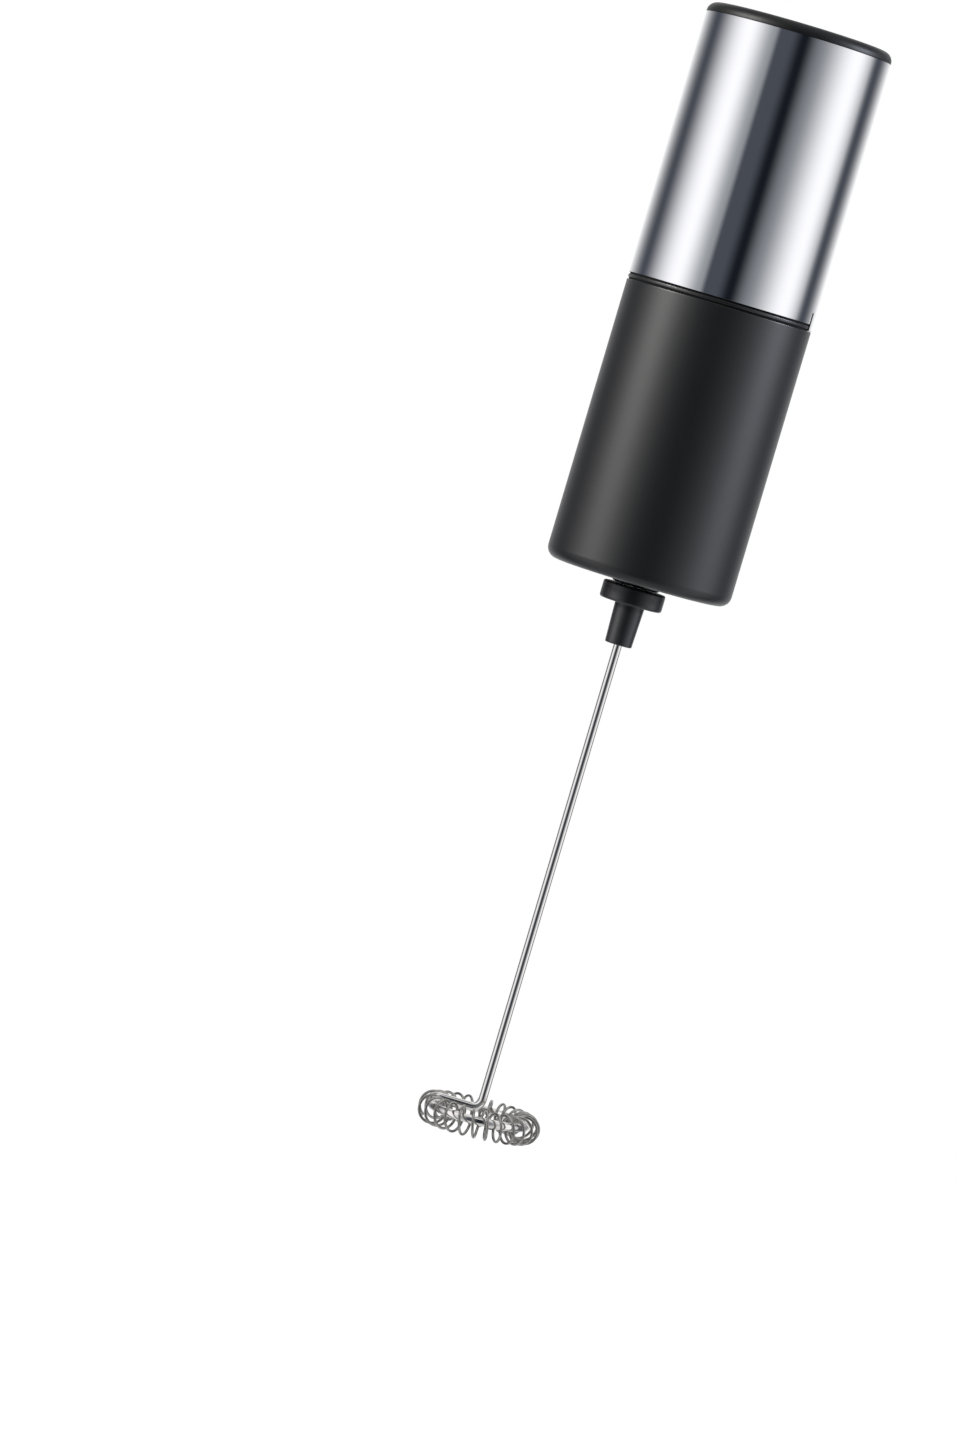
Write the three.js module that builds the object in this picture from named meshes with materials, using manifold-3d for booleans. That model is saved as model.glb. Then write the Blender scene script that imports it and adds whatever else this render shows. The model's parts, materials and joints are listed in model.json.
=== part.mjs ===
// Battery milk frother: a cylindrical handle with a pull-off steel cover, a small motor and a coil whisk.
// Millimetres, +Z up, whisk down. The origin is on the handle's axis, at the steel sleeve's lower edge.
import * as THREE from 'three';
import { mergeVertices } from 'three/addons/utils/BufferGeometryUtils.js';
import Module from 'manifold-3d';

const wasm = await Module();
wasm.setup();

// ---------------------------------------------------------------- handle and housing
const HANDLE_R = 16.5;
const HOUSING_TOP = -1.2;
const HOUSING_BOTTOM = -50.9;
const HOUSING_INNER_R = 15;
const HOUSING_FLOOR = 1.8;
const HOUSING_EDGE_R = 2;
const RECESS_R = 7;
const RECESS_DEPTH = 0.3;
const SEAL_HOLE_R = 3.1;
const SEAL_R = 4.2;
const SEAL_BOTTOM = -51.7;

// ---------------------------------------------------------------- seam band and cell carrier
const BAND_BOTTOM = -1.05;
const BAND_TOP = -0.15;
const BAND_R = 16.45;
const SHOULDER_R = 15.7;
const CARRIER_R = 14.85;
const CARRIER_INNER_R = 14.7;
const CARRIER_FLOOR_BOTTOM = -17.3;
const CARRIER_FLOOR_TOP = -15.8;
const PILLAR_TOP = 33;
const PILLAR_HALF_ANGLE = 50;
const SKIRT_BOTTOM = -4;
const SPIGOT_TOP = 3;

// ---------------------------------------------------------------- steel cover, its lining, cap and latch
const SLEEVE_TOP = 46.5;
const SLEEVE_INNER_R = 16.05;
const LATCH_BOTTOM = -1.1;
const LATCH_HALF_ANGLE = 14.5;
const LATCH_SLIT_ANGLE = 2.4;
const LATCH_SLIT_TOP = 2;
const LINER_R = 16;
const LINER_INNER_R = 15.05;
const LINER_BOTTOM = 1;
const LINER_TOP = 41.9;
const CAP_TOP = 48.4;
const CAP_WALL_BOTTOM = 46.3;
const CAP_EDGE_R = 1.8;
const CAP_SKIRT_R = 15.95;
const CAP_SKIRT_INNER_R = 14.2;
const CAP_SKIRT_BOTTOM = 42.1;
const POST_R = 2.2;
const POST_Y = 10.5;

// ---------------------------------------------------------------- switch and button
const SWITCH_BASE_BOTTOM = 38.4;
const SWITCH_BASE_TOP = 41;
const SWITCH_BASE_R = 14.9;
const BUTTON_R = 7;
const BUTTON_HOLE_R = 7.25;
const BUTTON_TOP = 48.3;
const BUTTON_DISH_Z = 47.7;
const BUTTON_FLANGE_R = 8;
const BUTTON_FLANGE_TOP = 46.25;
const BUTTON_FLANGE_BOTTOM = 45.05;
const BUTTON_STEM_R = 1.6;
const BRIDGE_TOP = 43.35;
const BRIDGE_THICKNESS = 0.4;
const BRIDGE_LENGTH = 8.8;
const BRIDGE_WIDTH = 3;
const BUTTON_SPRING_R = 5.3;
const BUTTON_SPRING_WIRE_R = 0.25;
const BUTTON_SPRING_TURNS = 4;
const SCREW_SHANK_R = 0.85;
const SCREW_HEAD_R = 1.9;
const SCREW_HEAD_HEIGHT = 1.4;
const SCREW_TIP = 45.2;

// ---------------------------------------------------------------- two AA cells and their contacts
const CELL_R = 7.25;
const CELL_LENGTH = 50.5;
const CELL_NUB_R = 2.75;
const CELL_NUB_HEIGHT = 1.2;
const CELL_X = 7.4;
const CELL_POCKET_R = 7.4;
const LEFT_CELL_BOTTOM = -12.5;
const RIGHT_CELL_BOTTOM = -15.28;
const CONTACT_PLATE_R = 5;
const CONTACT_THICKNESS = 0.36;
const CONTACT_SPRING_R = 4.6;
const CONTACT_SPRING_TIP_R = 3;
const CONTACT_WIRE_R = 0.3;
const CONTACT_TURNS = 3;
const CONTACT_TOP = 41.4;
const UPPER_TAB_X = 3.5;
const TAIL_BOTTOM = -18.6;
const TAIL_WIDTH = 2;

// ---------------------------------------------------------------- motor
const MOTOR_R = 10.05;
const MOTOR_HALF_FLAT = 7.55;
const MOTOR_WALL = 0.8;
const MOTOR_FRONT = -47;
const CAN_TOP = -24;
const BELL_TOP = -21.5;
const BELL_PLUG = 1.5;
const FRONT_BOSS_R = 3.08;
const FRONT_BOSS_BOTTOM = -48.6;
const REAR_BOSS_R = 3.2;
const REAR_BOSS_TOP = -20.3;
const BUSH_R = 1.87;
const BUSH_HOLE_R = 1.92;
const SHAFT_R = 1;
const BUSH_BORE_R = 1.06;
const SHAFT_BOTTOM = -59.5;
const SHAFT_TOP = -20.6;
const MAGNET_R = 9.15;
const MAGNET_INNER_R = 6.7;
const MAGNET_HALF_ANGLE = 42;
const CORE_R = 6.1;
const CORE_SHOE_R = 4.9;
const CORE_HUB_R = 2.2;
const CORE_ARM_HALF = 0.8;
const CORE_BOTTOM = -43;
const CORE_TOP = -31.5;
const SHOE_HALF_ANGLE = 48;
const POLES = 3;
const WINDING_THICKNESS = 1.05;
const COMMUTATOR_R = 2.3;
const COMMUTATOR_BOTTOM = -30.6;
const COMMUTATOR_TOP = -26.4;
const BRUSH_BOTTOM = -29;
const BRUSH_TOP = -27;
const TERMINAL_X = 6.5;
const TERMINAL_TOP = -18.4;
const TERMINAL_THICKNESS = 0.5;
const TERMINAL_WIDTH = 2.2;
const CRADLE_R = 14.9;
const CRADLE_TOP = -40;
const LEAD_R = 0.55;

// ---------------------------------------------------------------- coupling and whisk
const COUPLING_TOP = -51.9;
const COUPLING_FLANGE_BOTTOM = -55;
const COUPLING_BOTTOM = -62.25;
const COUPLING_FLANGE_R = 5.55;
const COUPLING_NECK_R = 2.64;
const COUPLING_TIP_R = 2.38;
const COUPLING_STEP_Z = -59.65;
const WIRE_R = 0.75;
const WIRE_TOP = -59.75;
const ARM_Z = -146.4;
const ARM_BEND_R = 1.7;
const ARM_END_X = -6.2;
const RING_R = 8.5;
const RING_Z = -147.5;
const RING_START_ANGLE = 155;
const RING_TURN = 317;
const HEAD_TILT = THREE.MathUtils.degToRad(2.8);
const COIL_Z = -148.1;
const COIL_RING_R = 8.55;
const COIL_R = 2.43;
const COIL_WIRE_R = 0.275;
const COIL_PITCH_ANGLE = 13.35;
const COIL_START_ANGLE = 188;
const COIL_END_ANGLE = 524;

// ---------------------------------------------------------------- facets and small clearances
const FINE = 40;
const MEDIUM = 24;
const SMALL = 12;
const EDGE_STEPS = 4;
const RING_STEPS = 40;
const ARC_DIVISIONS = 5;
const LONG_ARC_DIVISIONS = 12;
const LOOP_STEPS = 10;
const WIRE_SIDES = 8;
const THIN_WIRE_SIDES = 5;
const FIT = 0.02;
const SLOT_FIT = 0.1;
const CUT = 1;
const MERGE_TOLERANCE = 1e-4;

const FINISHES = {
  polished_steel: { color: 0xc6c9cf, roughness: 0.12, metalness: 1 },
  whisk_steel: { color: 0xb9b8b4, roughness: 0.25, metalness: 1 },
  black_housing: { color: 0x222324, roughness: 0.55, metalness: 0 },
  black_cap: { color: 0x1b1b1d, roughness: 0.35, metalness: 0 },
  grey_moulding: { color: 0x4b4d50, roughness: 0.6, metalness: 0 },
  white_nylon: { color: 0xe6e2d6, roughness: 0.5, metalness: 0 },
  zinc_steel: { color: 0xa7abb0, roughness: 0.35, metalness: 1 },
  spring_nickel: { color: 0xbfc1c0, roughness: 0.3, metalness: 1 },
  copper: { color: 0xb8693a, roughness: 0.35, metalness: 1 },
  sintered_bronze: { color: 0x9a7442, roughness: 0.5, metalness: 1 },
  ferrite: { color: 0x3a3b3f, roughness: 0.75, metalness: 0 },
  cell_wrap: { color: 0x2f6d8f, roughness: 0.35, metalness: 0 },
  lead_red: { color: 0xb02a22, roughness: 0.5, metalness: 0 },
  lead_black: { color: 0x1c1c1c, roughness: 0.5, metalness: 0 },
};

const frother = new THREE.Group();

function place(name, finish, geometry) {
  const mesh = new THREE.Mesh(geometry, new THREE.MeshStandardMaterial(FINISHES[finish]));
  mesh.name = name;
  frother.add(mesh);
}

// ---------------------------------------------------------------- geometry helpers
const radians = THREE.MathUtils.degToRad;

// Points of an arc as [r, z] pairs, from one angle to another, in degrees.
function arcPoints(centreR, centreZ, radius, from, to, steps) {
  const points = [];
  for (let step = 0; step <= steps; step += 1) {
    const angle = radians(from + (to - from) * step / steps);
    points.push([centreR + radius * Math.cos(angle), centreZ + radius * Math.sin(angle)]);
  }
  return points;
}

// A solid of revolution about Z. The profile runs anticlockwise, with r to the right and z up.
function turned(profile, segments) {
  const points = profile.map(([r, z]) => new THREE.Vector2(r, z));
  const geometry = new THREE.LatheGeometry(points, segments);
  geometry.rotateX(Math.PI / 2);
  return geometry;
}

// A profile that doesn't reach the axis is closed on its own first point.
function turnedRing(profile, segments) {
  return turned([...profile, profile[0]], segments);
}

function tube(innerR, outerR, bottom, top, segments) {
  return turnedRing([[innerR, bottom], [outerR, bottom], [outerR, top], [innerR, top]], segments);
}

function rod(radius, bottom, top, segments) {
  return turned([[0, bottom], [radius, bottom], [radius, top], [0, top]], segments);
}

function block(x0, x1, y0, y1, z0, z1) {
  const geometry = new THREE.BoxGeometry(x1 - x0, y1 - y0, z1 - z0);
  geometry.translate((x0 + x1) / 2, (y0 + y1) / 2, (z0 + z1) / 2);
  return geometry;
}

function raised(shape, bottom, top, curveSegments) {
  const geometry = new THREE.ExtrudeGeometry(shape, {
    depth: top - bottom,
    bevelEnabled: false,
    curveSegments,
  });
  geometry.translate(0, 0, bottom);
  return geometry;
}

// A slice of a ring between two angles, in degrees.
function sector(innerR, outerR, from, to, bottom, top, curveSegments) {
  const shape = new THREE.Shape();
  shape.absarc(0, 0, outerR, radians(from), radians(to), false);
  shape.absarc(0, 0, innerR, radians(to), radians(from), true);
  shape.closePath();
  return raised(shape, bottom, top, curveSegments);
}

// A curve sampled only at its own stations, so that a straight run costs one step.
class StationCurve extends THREE.Curve {
  constructor(stations) {
    super();
    this.stations = stations;
  }

  getPoint(t) {
    const last = this.stations.length - 1;
    const index = Math.min(Math.floor(t * last), last - 1);
    return this.stations[index].clone().lerp(this.stations[index + 1], t * last - index);
  }

  getPointAt(u) {
    return this.getPoint(u);
  }

  getTangentAt(u) {
    const last = this.stations.length - 1;
    const index = Math.round(u * last);
    const before = this.stations[Math.max(index - 1, 0)];
    const here = this.stations[index];
    const after = this.stations[Math.min(index + 1, last)];
    const arriving = here.clone().sub(before).normalize();
    const leaving = after.clone().sub(here).normalize();
    return arriving.add(leaving).normalize();
  }
}

function wire(stations, radius, sides) {
  const section = new THREE.Shape();
  for (let side = 0; side < sides; side += 1) {
    const angle = 2 * Math.PI * side / sides;
    const x = radius * Math.cos(angle);
    const y = radius * Math.sin(angle);
    if (side === 0) section.moveTo(x, y);
    else section.lineTo(x, y);
  }
  section.closePath();
  return new THREE.ExtrudeGeometry(section, {
    steps: stations.length - 1,
    extrudePath: new StationCurve(stations),
    bevelEnabled: false,
  });
}

function solid(geometry) {
  const bare = new THREE.BufferGeometry();
  bare.setAttribute('position', geometry.getAttribute('position'));
  bare.setIndex(geometry.getIndex());
  const merged = mergeVertices(bare, MERGE_TOLERANCE);
  const index = merged.getIndex().array;
  const triangles = [];
  for (let corner = 0; corner < index.length; corner += 3) {
    const [a, b, c] = index.slice(corner, corner + 3);
    if (a !== b && b !== c && c !== a) triangles.push(a, b, c);
  }
  return new wasm.Manifold(new wasm.Mesh({
    numProp: 3,
    vertProperties: new Float32Array(merged.getAttribute('position').array),
    triVerts: new Uint32Array(triangles),
  }));
}

function carved(base, additions, cuts) {
  let body = solid(base);
  for (const addition of additions) body = body.add(solid(addition));
  for (const cut of cuts) body = body.subtract(solid(cut));
  const mesh = body.getMesh();
  const geometry = new THREE.BufferGeometry();
  geometry.setAttribute('position', new THREE.BufferAttribute(mesh.vertProperties, 3));
  geometry.setIndex(new THREE.BufferAttribute(mesh.triVerts, 1));
  geometry.computeVertexNormals();
  return geometry;
}

// ---------------------------------------------------------------- handle body: housing and carrier
function addHousing() {
  const floorTop = HOUSING_BOTTOM + HOUSING_FLOOR;
  const recessZ = HOUSING_BOTTOM + RECESS_DEPTH;
  const edgeCentreR = HANDLE_R - HOUSING_EDGE_R;
  const edgeCentreZ = HOUSING_BOTTOM + HOUSING_EDGE_R;
  place('lower_housing', 'black_housing', turnedRing([
    [SEAL_HOLE_R, recessZ],
    [RECESS_R, recessZ],
    [RECESS_R, HOUSING_BOTTOM],
    ...arcPoints(edgeCentreR, edgeCentreZ, HOUSING_EDGE_R, -90, 0, EDGE_STEPS),
    [HANDLE_R, HOUSING_TOP],
    [HOUSING_INNER_R, HOUSING_TOP],
    [HOUSING_INNER_R, floorTop],
    [SEAL_HOLE_R, floorTop],
  ], FINE));

  const sealLip = 0.3;
  const neckR = SEAL_HOLE_R - 2 * FIT;
  place('shaft_seal', 'black_cap', turnedRing([
    [BUSH_BORE_R, SEAL_BOTTOM],
    [SEAL_R - sealLip, SEAL_BOTTOM],
    [SEAL_R, SEAL_BOTTOM + sealLip],
    [SEAL_R, recessZ - FIT],
    [neckR, recessZ - FIT],
    [neckR, floorTop + SLOT_FIT],
    [BUSH_BORE_R, floorTop + SLOT_FIT],
  ], MEDIUM));
}

// The front or rear pillar stands between the two cells and follows the housing's wall.
function pillarShape(side) {
  const shape = new THREE.Shape();
  const middle = 90 * side;
  const pocketFrom = 50;
  const cuspX = 0.5;
  const pocketTo = THREE.MathUtils.radToDeg(Math.acos((CELL_X - cuspX) / CELL_POCKET_R));
  const forwards = side < 0;
  shape.absarc(0, 0, CARRIER_R, radians(middle - side * PILLAR_HALF_ANGLE),
    radians(middle + side * PILLAR_HALF_ANGLE), forwards);
  shape.absarc(-CELL_X, 0, CELL_POCKET_R, radians(side * (180 - pocketFrom)), radians(side * pocketTo),
    !forwards);
  shape.absarc(CELL_X, 0, CELL_POCKET_R, radians(side * (180 - pocketTo)), radians(side * pocketFrom),
    !forwards);
  shape.closePath();
  return shape;
}

function addCarrier() {
  const pillarFoot = CARRIER_FLOOR_TOP - SLOT_FIT;
  const band = turnedRing([
    [CARRIER_INNER_R, SKIRT_BOTTOM],
    [CARRIER_R, SKIRT_BOTTOM],
    [CARRIER_R, HOUSING_TOP + FIT],
    [SHOULDER_R, HOUSING_TOP + FIT],
    [SHOULDER_R, BAND_BOTTOM],
    [BAND_R, BAND_BOTTOM],
    [BAND_R, BAND_TOP],
    [SHOULDER_R, BAND_TOP],
    [SHOULDER_R, -FIT],
    [CARRIER_R, -FIT],
    [CARRIER_R, SPIGOT_TOP],
    [CARRIER_INNER_R, SPIGOT_TOP],
  ], FINE);
  const floor = rod(CARRIER_R, CARRIER_FLOOR_BOTTOM, CARRIER_FLOOR_TOP, FINE);
  const pillars = [1, -1].map((side) => raised(pillarShape(side), pillarFoot, PILLAR_TOP, ARC_DIVISIONS));
  const notchR = SLEEVE_INNER_R - 2 * SLOT_FIT;
  const notchAngle = LATCH_HALF_ANGLE + LATCH_SLIT_ANGLE;
  const latchNotch = sector(notchR, HANDLE_R + CUT, -notchAngle, notchAngle,
    BAND_BOTTOM - SLOT_FIT, BAND_TOP + SLOT_FIT, ARC_DIVISIONS);
  const tailX = CELL_X + CONTACT_SPRING_R;
  const slotX = CONTACT_THICKNESS / 2 + SLOT_FIT;
  const slotY = TAIL_WIDTH / 2 + SLOT_FIT;
  const slotBottom = CARRIER_FLOOR_BOTTOM - CUT;
  const slotTop = CARRIER_FLOOR_TOP + CUT;
  const plateSlot = block(tailX - slotX, tailX + slotX, -slotY, slotY, slotBottom, slotTop);
  const wireHole = rod(CONTACT_WIRE_R + SLOT_FIT, slotBottom, slotTop, SMALL);
  wireHole.translate(-tailX, 0, 0);
  const cuts = [latchNotch, plateSlot, wireHole];
  place('battery_carrier', 'black_housing', carved(band, [floor, ...pillars], cuts));
}

// ---------------------------------------------------------------- cover body
function addSleeve() {
  const body = tube(SLEEVE_INNER_R, HANDLE_R, LATCH_BOTTOM, SLEEVE_TOP, FINE);
  const cutInner = SLEEVE_INNER_R - CUT;
  const cutOuter = HANDLE_R + CUT;
  const slitEdge = LATCH_HALF_ANGLE + LATCH_SLIT_ANGLE;
  const below = sector(cutInner, cutOuter, LATCH_HALF_ANGLE, 360 - LATCH_HALF_ANGLE, LATCH_BOTTOM - CUT, 0,
    LONG_ARC_DIVISIONS);
  const slits = [LATCH_HALF_ANGLE, -slitEdge].map((from) => (
    sector(cutInner, cutOuter, from, from + LATCH_SLIT_ANGLE, -CUT, LATCH_SLIT_TOP, 1)
  ));
  place('steel_sleeve', 'polished_steel', carved(body, [], [below, ...slits]));
  place('cover_liner', 'grey_moulding', tube(LINER_INNER_R, LINER_R, LINER_BOTTOM, LINER_TOP, FINE));
}

function screwPlaces() {
  return [['front', -POST_Y], ['rear', POST_Y]];
}

function addCap() {
  const rimUnderside = SLEEVE_TOP + FIT;
  const lip = 0.3;
  const top = turnedRing([
    [BUTTON_HOLE_R, CAP_WALL_BOTTOM],
    [CAP_SKIRT_INNER_R, CAP_WALL_BOTTOM],
    [CAP_SKIRT_INNER_R, CAP_SKIRT_BOTTOM],
    [CAP_SKIRT_R, CAP_SKIRT_BOTTOM],
    [CAP_SKIRT_R, rimUnderside],
    [HANDLE_R, rimUnderside],
    ...arcPoints(HANDLE_R - CAP_EDGE_R, CAP_TOP - CAP_EDGE_R, CAP_EDGE_R, 0, 90, EDGE_STEPS),
    [BUTTON_HOLE_R + lip, CAP_TOP],
    [BUTTON_HOLE_R, CAP_TOP - lip],
  ], FINE);
  const posts = [];
  const holes = [];
  for (const [, y] of screwPlaces()) {
    const post = rod(POST_R, SWITCH_BASE_TOP + FIT, CAP_WALL_BOTTOM + SLOT_FIT, SMALL);
    const hole = rod(SCREW_SHANK_R + SLOT_FIT, SWITCH_BASE_TOP - CUT, SCREW_TIP + SLOT_FIT, SMALL);
    post.translate(0, y, 0);
    hole.translate(0, y, 0);
    posts.push(post);
    holes.push(hole);
  }
  place('end_cap', 'black_cap', carved(top, posts, holes));
}

function addSwitchBase() {
  const bottom = SWITCH_BASE_BOTTOM - CUT;
  const top = SWITCH_BASE_TOP + CUT;
  const screwHoles = screwPlaces().map(([, y]) => {
    const hole = rod(SCREW_SHANK_R + 2 * SLOT_FIT, bottom, top, SMALL);
    hole.translate(0, y, 0);
    return hole;
  });
  const tailX = CELL_X - CONTACT_SPRING_R;
  const tailHole = rod(CONTACT_WIRE_R + SLOT_FIT, bottom, top, SMALL);
  tailHole.translate(tailX, 0, 0);
  const slotY = TAIL_WIDTH / 2 + SLOT_FIT;
  const slotFar = -UPPER_TAB_X - CONTACT_THICKNESS - SLOT_FIT;
  const slotNear = -UPPER_TAB_X + SLOT_FIT;
  const slot = block(slotFar, slotNear, -slotY, slotY, bottom, top);
  const disc = rod(SWITCH_BASE_R, SWITCH_BASE_BOTTOM, SWITCH_BASE_TOP, FINE);
  place('switch_base', 'grey_moulding', carved(disc, [], [...screwHoles, tailHole, slot]));
}

function addScrews() {
  const headTop = SWITCH_BASE_BOTTOM - FIT;
  const headBottom = headTop - SCREW_HEAD_HEIGHT;
  const recessHalf = 1.1;
  const recessWidth = 0.28;
  const recessTop = headBottom + 0.8;
  const edge = 0.5;
  for (const [side, y] of screwPlaces()) {
    const screw = turned([
      [0, headBottom],
      [SCREW_HEAD_R - edge, headBottom],
      [SCREW_HEAD_R, headBottom + edge],
      [SCREW_HEAD_R, headTop],
      [SCREW_SHANK_R, headTop],
      [SCREW_SHANK_R, SCREW_TIP - SCREW_SHANK_R],
      [0, SCREW_TIP],
    ], SMALL);
    const cross = [
      block(-recessHalf, recessHalf, -recessWidth, recessWidth, headBottom - CUT, recessTop),
      block(-recessWidth, recessWidth, -recessHalf, recessHalf, headBottom - CUT, recessTop),
    ];
    const geometry = carved(screw, [], cross);
    geometry.translate(0, y, 0);
    place(`switch_screw_${side}`, 'zinc_steel', geometry);
  }
}

// ---------------------------------------------------------------- button body
function addButton() {
  const edge = 0.4;
  place('push_button', 'black_cap', turned([
    [0, BRIDGE_TOP + FIT],
    [BUTTON_STEM_R, BRIDGE_TOP + FIT],
    [BUTTON_STEM_R, BUTTON_FLANGE_BOTTOM],
    [BUTTON_FLANGE_R, BUTTON_FLANGE_BOTTOM],
    [BUTTON_FLANGE_R, BUTTON_FLANGE_TOP],
    [BUTTON_R, BUTTON_FLANGE_TOP],
    [BUTTON_R, BUTTON_TOP - edge],
    [BUTTON_R - edge, BUTTON_TOP],
    [BUTTON_R - 2 * edge, BUTTON_TOP],
    [BUTTON_R / 2, BUTTON_DISH_Z + edge / 2],
    [0, BUTTON_DISH_Z],
  ], MEDIUM));
  const halfLength = BRIDGE_LENGTH / 2;
  const halfWidth = BRIDGE_WIDTH / 2;
  place('contact_bridge', 'spring_nickel',
    block(-halfLength, halfLength, -halfWidth, halfWidth, BRIDGE_TOP - BRIDGE_THICKNESS, BRIDGE_TOP));
}

// Stations of a helix about a vertical axis, with a radius that may change as it climbs.
function helix(centreX, startAngle, turns, fromZ, toZ, fromR, toR) {
  const stations = [];
  const steps = Math.round(Math.abs(turns) * LOOP_STEPS);
  for (let step = 0; step <= steps; step += 1) {
    const share = step / steps;
    const angle = radians(startAngle) + 2 * Math.PI * turns * share;
    const radius = fromR + (toR - fromR) * share;
    const z = fromZ + (toZ - fromZ) * share;
    stations.push(new THREE.Vector3(centreX + radius * Math.cos(angle), radius * Math.sin(angle), z));
  }
  return stations;
}

function addButtonSpring() {
  const clear = BUTTON_SPRING_WIRE_R + 2 * FIT;
  const stations = helix(0, 0, BUTTON_SPRING_TURNS, SWITCH_BASE_TOP + clear, BUTTON_FLANGE_BOTTOM - clear,
    BUTTON_SPRING_R, BUTTON_SPRING_R);
  place('button_spring', 'spring_nickel', wire(stations, BUTTON_SPRING_WIRE_R, THIN_WIRE_SIDES));
}

// ---------------------------------------------------------------- cells and contacts
function cellProfile() {
  const edge = 0.5;
  const nubEdge = 0.3;
  const bodyTop = CELL_LENGTH - CELL_NUB_HEIGHT;
  return [
    [0, 0],
    [CELL_R - edge, 0],
    [CELL_R, edge],
    [CELL_R, bodyTop - edge],
    [CELL_R - edge, bodyTop],
    [CELL_NUB_R, bodyTop],
    [CELL_NUB_R, CELL_LENGTH - nubEdge],
    [CELL_NUB_R - nubEdge, CELL_LENGTH],
    [0, CELL_LENGTH],
  ];
}

function addCells() {
  const left = turned(cellProfile(), MEDIUM);
  left.translate(-CELL_X, 0, LEFT_CELL_BOTTOM);
  place('battery_left', 'cell_wrap', left);
  const right = turned(cellProfile(), MEDIUM);
  right.rotateX(Math.PI);
  right.translate(CELL_X, 0, RIGHT_CELL_BOTTOM + CELL_LENGTH);
  place('battery_right', 'cell_wrap', right);
}

function addLowerContacts() {
  const tailX = CELL_X + CONTACT_SPRING_R;
  const clear = CONTACT_WIRE_R + FIT;
  const coil = helix(-CELL_X, 180, CONTACT_TURNS, CARRIER_FLOOR_TOP + clear, LEFT_CELL_BOTTOM - clear,
    CONTACT_SPRING_R, CONTACT_SPRING_TIP_R);
  const tail = new THREE.Vector3(-tailX, 0, TAIL_BOTTOM);
  place('lower_contact_spring', 'spring_nickel', wire([tail, ...coil], CONTACT_WIRE_R, THIN_WIRE_SIDES));

  const plateTop = RIGHT_CELL_BOTTOM - FIT;
  const plateBottom = CARRIER_FLOOR_TOP + FIT;
  const plate = rod(CONTACT_PLATE_R, plateBottom, plateTop, MEDIUM);
  plate.translate(CELL_X, 0, 0);
  const halfWidth = TAIL_WIDTH / 2;
  const halfThickness = CONTACT_THICKNESS / 2;
  const legNear = tailX - halfThickness;
  const legFar = tailX + halfThickness;
  const leg = block(legNear, legFar, -halfWidth, halfWidth, TAIL_BOTTOM, plateTop);
  place('lower_contact_plate', 'spring_nickel', carved(plate, [leg], []));
}

function addUpperContacts() {
  const cellTop = RIGHT_CELL_BOTTOM + CELL_LENGTH;
  const clear = CONTACT_WIRE_R + FIT;
  const coil = helix(CELL_X, 180, CONTACT_TURNS, SWITCH_BASE_BOTTOM - clear, cellTop + clear,
    CONTACT_SPRING_R, CONTACT_SPRING_TIP_R);
  const tail = new THREE.Vector3(CELL_X - CONTACT_SPRING_R, 0, CONTACT_TOP);
  place('upper_contact_spring', 'spring_nickel', wire([tail, ...coil], CONTACT_WIRE_R, THIN_WIRE_SIDES));

  const plateTop = SWITCH_BASE_BOTTOM - FIT;
  const plateBottom = LEFT_CELL_BOTTOM + CELL_LENGTH + FIT;
  const plate = rod(CONTACT_PLATE_R, plateBottom, plateTop, MEDIUM);
  plate.translate(-CELL_X, 0, 0);
  const halfWidth = TAIL_WIDTH / 2;
  const tabBack = -UPPER_TAB_X - CONTACT_THICKNESS;
  const tab = block(tabBack, -UPPER_TAB_X, -halfWidth, halfWidth, plateBottom, CONTACT_TOP);
  const footBottom = SWITCH_BASE_TOP + FIT;
  const footBack = tabBack - CONTACT_THICKNESS;
  const foot = block(footBack, -UPPER_TAB_X, -halfWidth, halfWidth, footBottom, CONTACT_TOP);
  place('upper_contact_plate', 'spring_nickel', carved(plate, [tab, foot], []));
}

// ---------------------------------------------------------------- motor
// The case's outline is a circle with two flats. A positive inset makes it smaller.
function motorOutline(inset, outline = new THREE.Shape()) {
  const radius = MOTOR_R - inset;
  const half = Math.asin((MOTOR_HALF_FLAT - inset) / radius);
  outline.absarc(0, 0, radius, -half, half, false);
  outline.absarc(0, 0, radius, Math.PI - half, Math.PI + half, false);
  outline.closePath();
  return outline;
}

function addMotorCase() {
  const can = carved(
    raised(motorOutline(0), MOTOR_FRONT, CAN_TOP, ARC_DIVISIONS),
    [rod(FRONT_BOSS_R, FRONT_BOSS_BOTTOM, MOTOR_FRONT + MOTOR_WALL / 2, MEDIUM)],
    [
      raised(motorOutline(MOTOR_WALL), MOTOR_FRONT + MOTOR_WALL, CAN_TOP + CUT, ARC_DIVISIONS),
      rod(BUSH_HOLE_R, FRONT_BOSS_BOTTOM - CUT, MOTOR_FRONT + 2 * CUT, MEDIUM),
    ],
  );
  place('motor_can', 'zinc_steel', can);

  const slotX = TERMINAL_THICKNESS / 2 + SLOT_FIT;
  const slotY = TERMINAL_WIDTH / 2 + SLOT_FIT;
  const plugBottom = CAN_TOP - BELL_PLUG;
  const slots = [-TERMINAL_X, TERMINAL_X].map((x) => (
    block(x - slotX, x + slotX, -slotY, slotY, plugBottom - CUT, BELL_TOP + CUT)
  ));
  const bell = carved(
    raised(motorOutline(0), CAN_TOP + FIT, BELL_TOP, ARC_DIVISIONS),
    [
      raised(motorOutline(MOTOR_WALL + SLOT_FIT), plugBottom, CAN_TOP + SLOT_FIT, ARC_DIVISIONS),
      rod(REAR_BOSS_R, BELL_TOP - SLOT_FIT, REAR_BOSS_TOP, MEDIUM),
    ],
    [rod(BUSH_HOLE_R, plugBottom - CUT, REAR_BOSS_TOP + CUT, MEDIUM), ...slots],
  );
  place('motor_end_bell', 'white_nylon', bell);
}

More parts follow.
